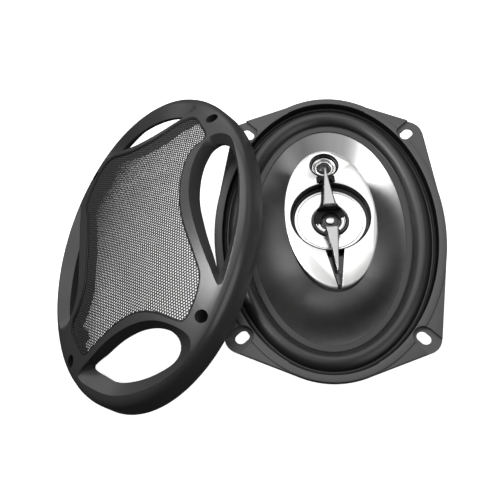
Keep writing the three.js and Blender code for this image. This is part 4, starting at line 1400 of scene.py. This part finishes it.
    def _hub(self) -> None:
        """Turn the hub tweeter: black cup, stepped chrome ring and bright-tipped dome."""
        hub = self.bench.turn("hub_cup", [
            (3.0, 88.2), (3.0, 91.9), (3.4, 92.3), (6.0, 93.2), (12.0, 93.6), (12.6, 93.8), (12.8, 94.4),
            (12.8, 97.2), (12.6, 97.5), (12.2, 97.6), (11.7, 97.6), (11.4, 97.4), (10.8, 94.9),
        ], Ends.CAPPED, 96)
        self._mount(hub, BLACK_PLASTIC, "speaker", "tweeter_hub")
        ring = self.bench.turn("stepped_ring", [
            (7.4, 95.2), (10.4, 95.2), (10.8, 96.7), (10.6, 97.0), (10.2, 97.1), (9.9, 96.9), (9.5, 96.2),
            (9.1, 96.15), (8.8, 96.5), (8.3, 96.6), (7.9, 96.4), (7.6, 96.1),
        ], Ends.LOOP, 96)
        self._mount(ring, MIRROR_CHROME, "speaker", "tweeter_ring", angle=22.0)
        dome = self.bench.turn("tweeter_cap", [
            (6.9, 95.2), (6.9, 95.5), (6.6, 95.65), (6.2, 95.55), (5.6, 95.8), (4.6, 96.0), (3.4, 95.95),
            (2.95, 95.9), (2.9, 97.0), (2.75, 97.2), (2.4, 97.32), (1.6, 97.42), (0.8, 97.48),
            (0.0, 97.5),
        ], Ends.CAPPED, 64)
        self._mount(dome, DOME_FILM, "tweeter", "tweeter_dome", angle=60.0)
        self._tip_chrome(dome, 2.92, 95.92)

    def _tip_chrome(self, dome: Piece, radius: float, height: float) -> None:
        """Paint the raised tip of a dome with chrome.

        Args:
            dome: the piece.
            radius: faces nearer the axis than this take the chrome.
            height: and only those above this height.
        """
        dome.data.materials.append(self.bench.painter.material(MIRROR_CHROME))
        for face in dome.data.polygons:
            x, y, z = face.center / MM
            if math.hypot(x, y) < radius and z > height:
                face.material_index = 1

    def _small_tweeter(self) -> None:
        """Turn the small tweeter: black cup, two chrome rings and a dark dome."""
        cup = self.bench.turn("small_cup", [
            (10.1, 95.4), (10.1, 103.1), (9.9, 103.35), (9.6, 103.4), (9.45, 103.1), (9.2, 99.6),
            (9.0, 98.2), (6.6, 97.4),
        ], Ends.CAPPED, 64)
        ring = self.bench.turn("small_outer_ring", [
            (6.9, 97.9), (8.7, 98.5), (8.8, 99.8), (8.6, 100.1), (8.2, 100.2), (7.8, 100.1),
            (7.1, 99.5), (6.9, 99.2),
        ])
        inner = self.bench.turn("small_inner_ring", [
            (4.9, 97.7), (6.4, 97.7), (6.5, 98.7), (6.3, 99.0), (5.8, 99.2), (5.4, 99.05), (5.0, 98.6),
        ])
        dome = self.bench.turn("small_dome", [
            (4.5, 97.8), (4.48, 98.3), (4.2, 98.75), (3.6, 99.25), (2.7, 99.7), (1.6, 100.05),
            (0.7, 100.17), (0.0, 100.2),
        ], Ends.CAPPED, 48)
        for piece, finish, body, node in (
            (cup, BLACK_PLASTIC, "speaker", "small_tweeter_cup"),
            (ring, MIRROR_CHROME, "speaker", "small_tweeter_ring"),
            (inner, MIRROR_CHROME, "speaker", "small_tweeter_inner_ring"),
            (dome, DOME_FILM, "small_tweeter", "small_tweeter_dome"),
        ):
            self.bench.place(piece, shifted(0.0, self.small_y))
            self._mount(piece, finish, body, node, angle=50.0)

    def _pointers(self) -> None:
        """Model the two silver pointers that stand on the hub."""
        for name, base, apex, half, node in (
            ("upper_arrow", 7.3, 39.2, 4.35, "upper_pointer"),
            ("lower_arrow", -10.3, -45.3, 4.1, "lower_pointer"),
        ):
            self._mount(self._pointer(name, base, apex, half), SATIN_SILVER, "speaker", node, angle=20.0)

    def _pointer(self, name: str, base: float, apex: float, half: float) -> Piece:
        """Model a tapering bar with bright chamfers round a flat top.

        Args:
            name: the piece's name.
            base: where its broad end lies along the pod.
            apex: where its tip lies.
            half: half its width at the broad end.

        Returns:
            The bar.
        """
        way = math.copysign(1.0, apex - base)
        bottom, top, tip = 103.6, 106.2, 0.5

        def ring(shrink: float, height: float) -> list[Point3]:
            """Return the four corners of the bar at one height."""
            side, end = half - shrink, max(tip - shrink, 0.15)
            near, far = base + way * shrink, apex - way * shrink
            return [(-side, near, height), (side, near, height), (end, far, height), (-end, far, height)]

        return self.bench.loft(name, [
            ring(0.4, bottom), ring(0.0, bottom + 0.5), ring(0.0, top - 0.9), ring(0.25, top - 0.35),
            ring(0.9, top),
        ])


# ---------------------------------------------------------------- grille


@dataclass
class Grille:
    """The domed grille: a moulded frame with four deep openings round a perforated steel screen.

    The outlines are (x, y) in the grille's own plane, with +Y towards its top end. Each opening has
    a hole, which is see-through, and a mouth, where its flare meets the crown.
    """

    bench: Bench
    half_width: float = 95.0
    half_length: float = 127.5
    wall: float = 13.8
    crown: float = 38.0
    fall: float = 20.5
    depth: float = 11.0
    lean: float = 36.0
    foot: float = -123.8
    floor_clearance: float = 0.5
    boss: Point2 = (62.0, 81.5)
    boss_radius: float = 6.6
    boss_recess: float = 4.5
    stem_radius: float = 3.6
    stem_foot: float = 4.6
    head_bore: Point2 = (4.5, 5.5)
    screw_bore: float = 2.4
    flare_depth: float = 7.0
    screen_pitch: float = 2.06
    screen_web: float = 0.38
    screen_skin: float = 0.5
    screen_drop: float = 1.2
    welds_per_mm: float = 50.0
    bead: Sequence[Point2] = ((-0.3, -1.0), (-0.3, -0.3), (0.8, -0.2), (1.6, -0.6), (1.7, -1.1))
    samples: int = 72
    rim_band: Point2 = (0.90, 1.05)
    reliefs: Sequence[tuple[float, float, float]] = (
        (64.0, 121.0, 5.5), (120.5, 131.0, 10.5), (135.0, 152.0, 10.5),
    )
    leaning: Matrix = field(init=False)
    edge: list[Point2] = field(init=False)
    window: Sequence[Point2] = field(default_factory=lambda: [
        (61, 63), (52, 53), (47.5, 38), (47, 14), (50, -5), (55, -22), (60, -38), (63.5, -54),
        (58.5, -71), (49.5, -83), (42, -80.5), (28, -73), (14, -69.5), (-2, -71), (-18, -76),
        (-32, -81), (-43, -83.5), (-53, -72), (-61, -56), (-51, -44), (-44.5, -30), (-44.5, -8),
        (-47.5, 12), (-54, 33), (-62.5, 52), (-59, 72), (-51, 86), (-40, 89), (-27, 84.5),
        (-12, 80), (4, 79.5), (19, 83), (34, 89.5), (46, 89.5), (55, 77),
    ])
    side_hole: Sequence[Point2] = field(default_factory=lambda: [
        (61, 56), (67, 58.5), (75, 53.5), (81.5, 38), (84.5, 12), (82, -20), (71, -52), (65.5, -34),
        (59, -10), (54.5, 12), (54.5, 36), (57.5, 49),
    ])
    side_mouth: Sequence[Point2] = field(default_factory=lambda: [
        (64, 62), (70, 63.5), (79, 59), (86, 38), (90, 12), (88.5, -24), (76, -64), (70, -49),
        (62, -24), (56.5, -4), (53.5, 14), (53.5, 36), (58, 53),
    ])
    bottom_hole: Sequence[Point2] = field(default_factory=lambda: [
        (40, -90), (41, -97), (36, -104), (22, -109), (4, -110.5), (-14, -107.5), (-29, -99),
        (-43, -88), (-26, -83.5), (-8, -78.5), (10, -76.5), (24, -78.5), (34, -83.5),
    ])
    bottom_mouth: Sequence[Point2] = field(default_factory=lambda: [
        (53, -94), (53.5, -101), (47, -110), (30, -118), (6, -121.5), (-16, -118.5), (-36, -109),
        (-53, -95.5), (-34, -87), (-12, -79.6), (10, -76), (27, -77.5), (45, -86),
    ])
    top_hole: Sequence[Point2] = field(default_factory=lambda: [
        (-47, 95), (-39, 103), (-26, 108.6), (-11, 111), (4, 110.2), (17, 107), (27.5, 102),
        (34, 95.5), (20, 87.5), (4, 83.7), (-12, 84.5), (-30, 89.5),
    ])
    top_mouth: Sequence[Point2] = field(default_factory=lambda: [
        (-52, 96), (-43, 106), (-30, 113.5), (-12, 119.5), (6, 120), (22, 117), (36, 110.5),
        (46, 100), (23, 87.6), (4, 83.4), (-13, 84.2), (-32, 89.6),
    ])
    left_hole: Sequence[Point2] = field(default_factory=lambda: [
        (-62.5, -47), (-67, -49), (-72, -45), (-76, -36), (-76, -10), (-72, 16), (-67, 38),
        (-63, 26), (-58, 6), (-54.5, -14), (-54.5, -32), (-58, -41),
    ])
    left_mouth: Sequence[Point2] = field(default_factory=lambda: [
        (-66, -52), (-71, -54), (-79, -51), (-86, -36), (-90, -12), (-88.5, 24), (-76, 64),
        (-70, 49), (-62, 24), (-56.5, 4), (-53.5, -14), (-53.5, -33), (-59, -45),
    ])

    def build(self) -> None:
        """Model the frame and the screen and lean them against the speaker."""
        height = self.half_width * math.sin(math.radians(self.lean)) + self.floor_clearance
        self.leaning = shifted(self.foot, 0.0, height) @ Matrix.Rotation(math.radians(-self.lean), 4, "Y")
        self.edge = smooth_outline(self.window, 160)
        self._frame()
        self._screen()
        self._screen_bead()

    def crown_at(self, x: float, y: float) -> float:
        """Return the height of the crown over a point of the grille's plane."""
        return self.crown - self.fall * ((x / self.half_width) ** 2 + (y / self.half_length) ** 2)

    def _at(self, ratio: float, height: float) -> Point3:
        """Return a profile ring at a share of the oval's size."""
        return (self.half_width * ratio, self.half_length * ratio, height)

    def _crown_rings(self, drop: float, ratios: Sequence[float]) -> list[Point3]:
        """Return profile rings that follow the crown at a depth below it."""
        return [self._at(r, self.crown - self.fall * r**2 - drop) for r in ratios]

    def _frame(self) -> None:
        """Sweep the domed shell, add the bosses and cut the window, openings and screw bores."""
        shell = self.bench.sweep("moulded_grille_frame", [
            self._at(0.9985, 0.0), self._at(1.0, 0.4), self._at(1.0, 9.6), self._at(0.9988, 12.0),
            self._at(0.9945, 14.2), self._at(0.985, 16.4), self._at(0.969, 18.1), self._at(0.95, 19.15),
            self._at(0.925, 20.35),
            *self._crown_rings(0.0, [0.9, 0.86, 0.8, 0.74, 0.68, 0.61, 0.55, 0.48, 0.4]),
            *self._crown_rings(self.depth, [0.4, 0.48, 0.55, 0.61, 0.68, 0.74, 0.8]),
            self._at(0.88, self.wall - 1), self._at(0.945, self.wall - 3), self._at(0.966, self.wall - 6),
            self._at(0.97, 0.0),
        ])
        head_radius, head_depth = self.head_bore
        roof = self.crown_at(*self.boss) - self.boss_recess
        stem_top = roof - head_depth
        above = self.crown + 5
        self.bench.join(shell, *self._at_bosses(self.boss_radius, stem_top - 1.0, roof))
        self.bench.join(shell, *self._at_bosses(self.stem_radius, self.stem_foot, stem_top))
        self.bench.join(shell, self._sector("rib", (0.80, 0.92), (158.0, 214.0), (4.5, 17.0)))
        tools = [self.bench.slab("window", self.edge, -5.0, self.crown + 10)]
        for hole, mouth in (
            (self.side_hole, self.side_mouth), (self.left_hole, self.left_mouth),
            (self.bottom_hole, self.bottom_mouth), (self.top_hole, self.top_mouth),
        ):
            tools.append(self._flared(hole, mouth))
        for start, end, top in self.reliefs:
            tools.append(self._sector("relief", self.rim_band, (start, end), (-3.0, top)))
        tools += self._at_bosses(head_radius, stem_top, above)
        tools += self._at_bosses(self.screw_bore, -2.0, above)
        self.bench.cut(shell, *tools)
        self.bench.place(shell, self.leaning)
        self.bench.finish(shell, GRILLE_PLASTIC, "grille", "grille_frame", angle=24.0)

    def _sector(self, name: str, ratios: Point2, angles: Point2, heights: Point2) -> Piece:
        """Return a solid that follows part of the oval's edge.

        Args:
            name: its name.
            ratios: its inner and outer share of the oval's size.
            angles: where it starts and ends round the oval, in degrees.
            heights: its lower and upper face.

        Returns:
            The solid.
        """
        steps = 24
        unit = arc((0.0, 0.0), 1.0, angles[0], angles[1], steps)
        a, b = self.half_width, self.half_length
        inner, outer = ([(x * r * a, y * r * b) for x, y in unit] for r in ratios)
        return self.bench.slab(name, inner + outer[::-1], *heights)

    def _at_bosses(self, radius: float, low: float, high: float) -> list[Piece]:
        """Return a round post at each of the four screw bosses."""
        posts = []
        for sx, sy in CORNERS:
            post = self.bench.turn("post", [(radius, low), (radius, high)], Ends.CAPPED, 40)
            posts.append(self.bench.place(post, shifted(sx * self.boss[0], sy * self.boss[1])))
        return posts

    def _flared(self, hole: Sequence[Point2], mouth: Sequence[Point2]) -> Piece:
        """Return the cutter of an opening: straight below, flaring out to its mouth in the crown.

        Args:
            hole: outline of the see-through part.
            mouth: outline where the flare meets the crown.

        Returns:
            The cutter.
        """
        inner = smooth_outline(hole, self.samples)
        outer = smooth_outline(mouth, self.samples)
        return self.bench.loft("flare", [
            [(x, y, -5.0) for x, y in inner],
            [(x, y, self.crown_at(x, y) - self.flare_depth) for x, y in inner],
            [(x, y, self.crown_at(x, y) + 0.2) for x, y in outer],
            [(x, y, self.crown + 12.0) for x, y in outer],
        ])

    def _screen(self) -> None:
        """Tile hexagons over the window, open each of them, dome the sheet and give it its thickness."""
        screen = self._honeycomb()
        self.bench.pick(screen)
        bpy.ops.object.mode_set(mode="EDIT")
        bpy.ops.mesh.select_mode(type="FACE")
        bpy.ops.mesh.select_all(action="SELECT")
        bpy.ops.mesh.inset(thickness=self.screen_web * MM, use_individual=True)
        bpy.ops.mesh.delete(type="FACE")
        bpy.ops.object.mode_set(mode="OBJECT")
        for vertex in screen.data.vertices:
            x, y, _ = vertex.co / MM
            vertex.co.z = (self.crown_at(x, y) - self.screen_drop) * MM
        self.bench.pick(screen)
        sheet = screen.modifiers.new("sheet", "SOLIDIFY")
        sheet.thickness = self.screen_skin * MM
        sheet.offset = -1.0
        bpy.ops.object.modifier_apply(modifier=sheet.name)
        self.bench.place(screen, self.leaning)
        self.bench.finish(screen, SCREEN_PAINT, "grille", "grille_mesh")

    def _screen_bead(self) -> None:
        """Sweep the bead that hides the screen's cut edge all round the window; its near-black colour is
        painted shade for the crevice between screen and frame.
        """
        count = len(self.edge)
        rings = []
        for offset, rise in self.bead:
            ring = []
            for i, (x, y) in enumerate(self.edge):
                before, after = Vector(self.edge[i - 1]), Vector(self.edge[(i + 1) % count])
                along = (after - before).normalized()
                px, py = x + along.y * offset, y - along.x * offset
                ring.append((px, py, self.crown_at(px, py) + rise))
            rings.append(ring)
        bead = self.bench.tube("screen_bead", rings)
        self.bench.place(bead, self.leaning)
        # The bead's near-black finish is painted crevice shade.
        self.bench.finish(bead, BEAD_PAINTED_SHADE, "grille", "grille_mesh")

    def _honeycomb(self) -> Piece:
        """Return a flat tiling of hexagons that covers the window and reaches a little past it."""
        side = self.screen_pitch / math.sqrt(3.0)
        turns = [math.tau * k / 6 for k in range(6)]
        corners = [Vector((math.cos(t), math.sin(t))) * side for t in turns]
        sheet = bmesh.new()
        known: dict[tuple[int, int], bmesh.types.BMVert] = {}
        columns = int(self.half_width / (1.5 * side))
        rows = int(self.half_length / self.screen_pitch)
        for i in range(-columns, columns + 1):
            for j in range(-rows, rows + 1):
                middle = Vector((1.5 * side * i, self.screen_pitch * (j + 0.5 * (i % 2))))
                if not self._under_edge(middle.x, middle.y):
                    continue
                ring = []
                for corner in corners:
                    x, y = middle + corner
                    key = (round(x * self.welds_per_mm), round(y * self.welds_per_mm))
                    if key not in known:
                        known[key] = sheet.verts.new((x * MM, y * MM, 0.0))
                    ring.append(known[key])
                sheet.faces.new(ring)
        mesh = bpy.data.meshes.new("perforated_screen")
        sheet.to_mesh(mesh)
        sheet.free()
        piece = bpy.data.objects.new("perforated_screen", mesh)
        bpy.context.scene.collection.objects.link(piece)
        return piece

    def _under_edge(self, x: float, y: float) -> bool:
        """Say whether a point lies in the window or just under the frame round it."""
        reach = 1.3
        if self._in_window(x, y):
            return True
        return any(math.hypot(x - px, y - py) < reach for px, py in self.edge)

    def _in_window(self, x: float, y: float) -> bool:
        """Say whether a point lies in the screen's window."""
        inside = False
        before = self.edge[-1]
        for point in self.edge:
            if (point[1] > y) != (before[1] > y):
                share = (y - point[1]) / (before[1] - point[1])
                if x < point[0] + (before[0] - point[0]) * share:
                    inside = not inside
            before = point
        return inside


# ---------------------------------------------------------------- studio


@dataclass
class Panel:
    """One soft light panel that faces the speaker."""

    name: str
    direction: Point3
    distance: float
    width: float
    height: float
    glow: float

    def hang(self, target: Vector) -> None:
        """Hang the panel so that it faces the target.

        Args:
            target: the point it faces, in metres.
        """
        light = bpy.data.lights.new(self.name, "AREA")
        light.shape = "RECTANGLE"
        light.size = self.width
        light.size_y = self.height
        light.energy = self.glow * math.pi * self.width * self.height
        holder = bpy.data.objects.new(self.name, light)
        bpy.context.scene.collection.objects.link(holder)
        towards = Vector(self.direction).normalized()
        holder.location = target + towards * self.distance
        holder.rotation_euler = towards.to_track_quat("Z", "Y").to_euler()


@dataclass
class Studio:
    """Camera, pale floor and soft panels."""

    azimuth: float = 4.5
    elevation: float = 59.09
    roll: float = -3.91
    distance: float = 0.6264
    target: Point3 = (-0.05625, -0.01889, 0.088)
    lens: float = 64.35

    def build(self) -> None:
        """Set up the camera, the floor and the light."""
        self._camera()
        self._floor()
        self._light()

    def _camera(self) -> None:
        """Point the camera at the pair from the front and above."""
        az, el, roll = (math.radians(v) for v in (self.azimuth, self.elevation, self.roll))
        back = Vector((math.sin(az) * math.cos(el), -math.cos(az) * math.cos(el), math.sin(el)))
        level = Vector((math.cos(az), math.sin(az), 0.0))
        rise = back.cross(level)
        right = math.cos(roll) * level + math.sin(roll) * rise
        up = back.cross(right)
        data = bpy.data.cameras.new("camera")
        data.lens = self.lens
        data.sensor_width = 36.0
        data.clip_start = 0.01
        camera = bpy.data.objects.new("camera", data)
        bpy.context.scene.collection.objects.link(camera)
        facing = Matrix((right, up, back)).transposed().to_4x4()
        camera.matrix_world = Matrix.Translation(Vector(self.target) + self.distance * back) @ facing
        bpy.context.scene.camera = camera

    def _floor(self) -> None:
        """Lay a wide pale floor under the magnet."""
        Bench.clear_selection()
        bpy.ops.mesh.primitive_plane_add(size=6.0, location=(0.0, 0.0, 0.0))
        floor = bpy.context.active_object
        floor.name = "floor"
        paper = bpy.data.materials.new("floor_paper")
        paper.use_nodes = True
        tree = paper.node_tree
        shader = tree.nodes["Principled BSDF"]
        shader.inputs["Roughness"].default_value = 0.9
        shader.inputs["Specular IOR Level"].default_value = 0.1
        shader.inputs["Emission Color"].default_value = (1.0, 1.0, 1.0, 1.0)
        shader.inputs["Emission Strength"].default_value = 0.9
        noise = tree.nodes.new("ShaderNodeTexNoise")
        noise.inputs["Scale"].default_value = 60.0
        tint = tinted(tree, noise.outputs[0], grey(0.86), grey(0.90))
        tree.links.new(tint, shader.inputs["Base Color"])
        floor.data.materials.append(paper)
        floor.visible_diffuse = False
        floor.visible_glossy = False

    def _light(self) -> None:
        """Hang the panels and set the dim surround."""
        target = Vector((-0.03, 0.0, 0.08))
        for panel in (
            Panel("overhead_panel", (-0.32, 0.25, 1.0), 1.1, 1.9, 1.7, 0.66),
            Panel("left_panel", (-0.59, 0.20, 0.79), 1.0, 0.22, 0.30, 16.0),
            Panel("far_panel", (0.02, 0.60, 0.80), 1.0, 1.1, 0.6, 1.0),
            Panel("low_far_card", (0.0, 0.96, 0.28), 1.2, 1.3, 0.30, 0.95),
            Panel("near_right_panel", (0.72, -0.30, 0.63), 1.1, 0.9, 0.7, 1.4),
            Panel("low_left_card", (-0.82, 0.56, 0.20), 1.2, 0.9, 0.5, 0.9),
            Panel("low_right_card", (0.80, 0.50, 0.33), 1.2, 0.7, 0.5, 0.35),
        ):
            panel.hang(target)
        world = bpy.data.worlds.new("surround")
        world.use_nodes = True
        world.node_tree.nodes["Background"].inputs[0].default_value = (0.03, 0.03, 0.03, 1.0)
        bpy.context.scene.world = world
        bpy.context.scene.view_settings.view_transform = "Standard"


def main() -> None:
    """Build the studio and every sub-assembly."""
    logging.basicConfig(level=logging.INFO, format="%(name)s: %(message)s")
    bench = Bench(Painter())
    Studio().build()
    for kind in (Motor, Basket, Woofer, Terminals, Crossover, Pod, Grille):
        LOG.info("building the %s", kind.__name__.lower())
        kind(bench).build()


if __name__ == "__main__":
    main()
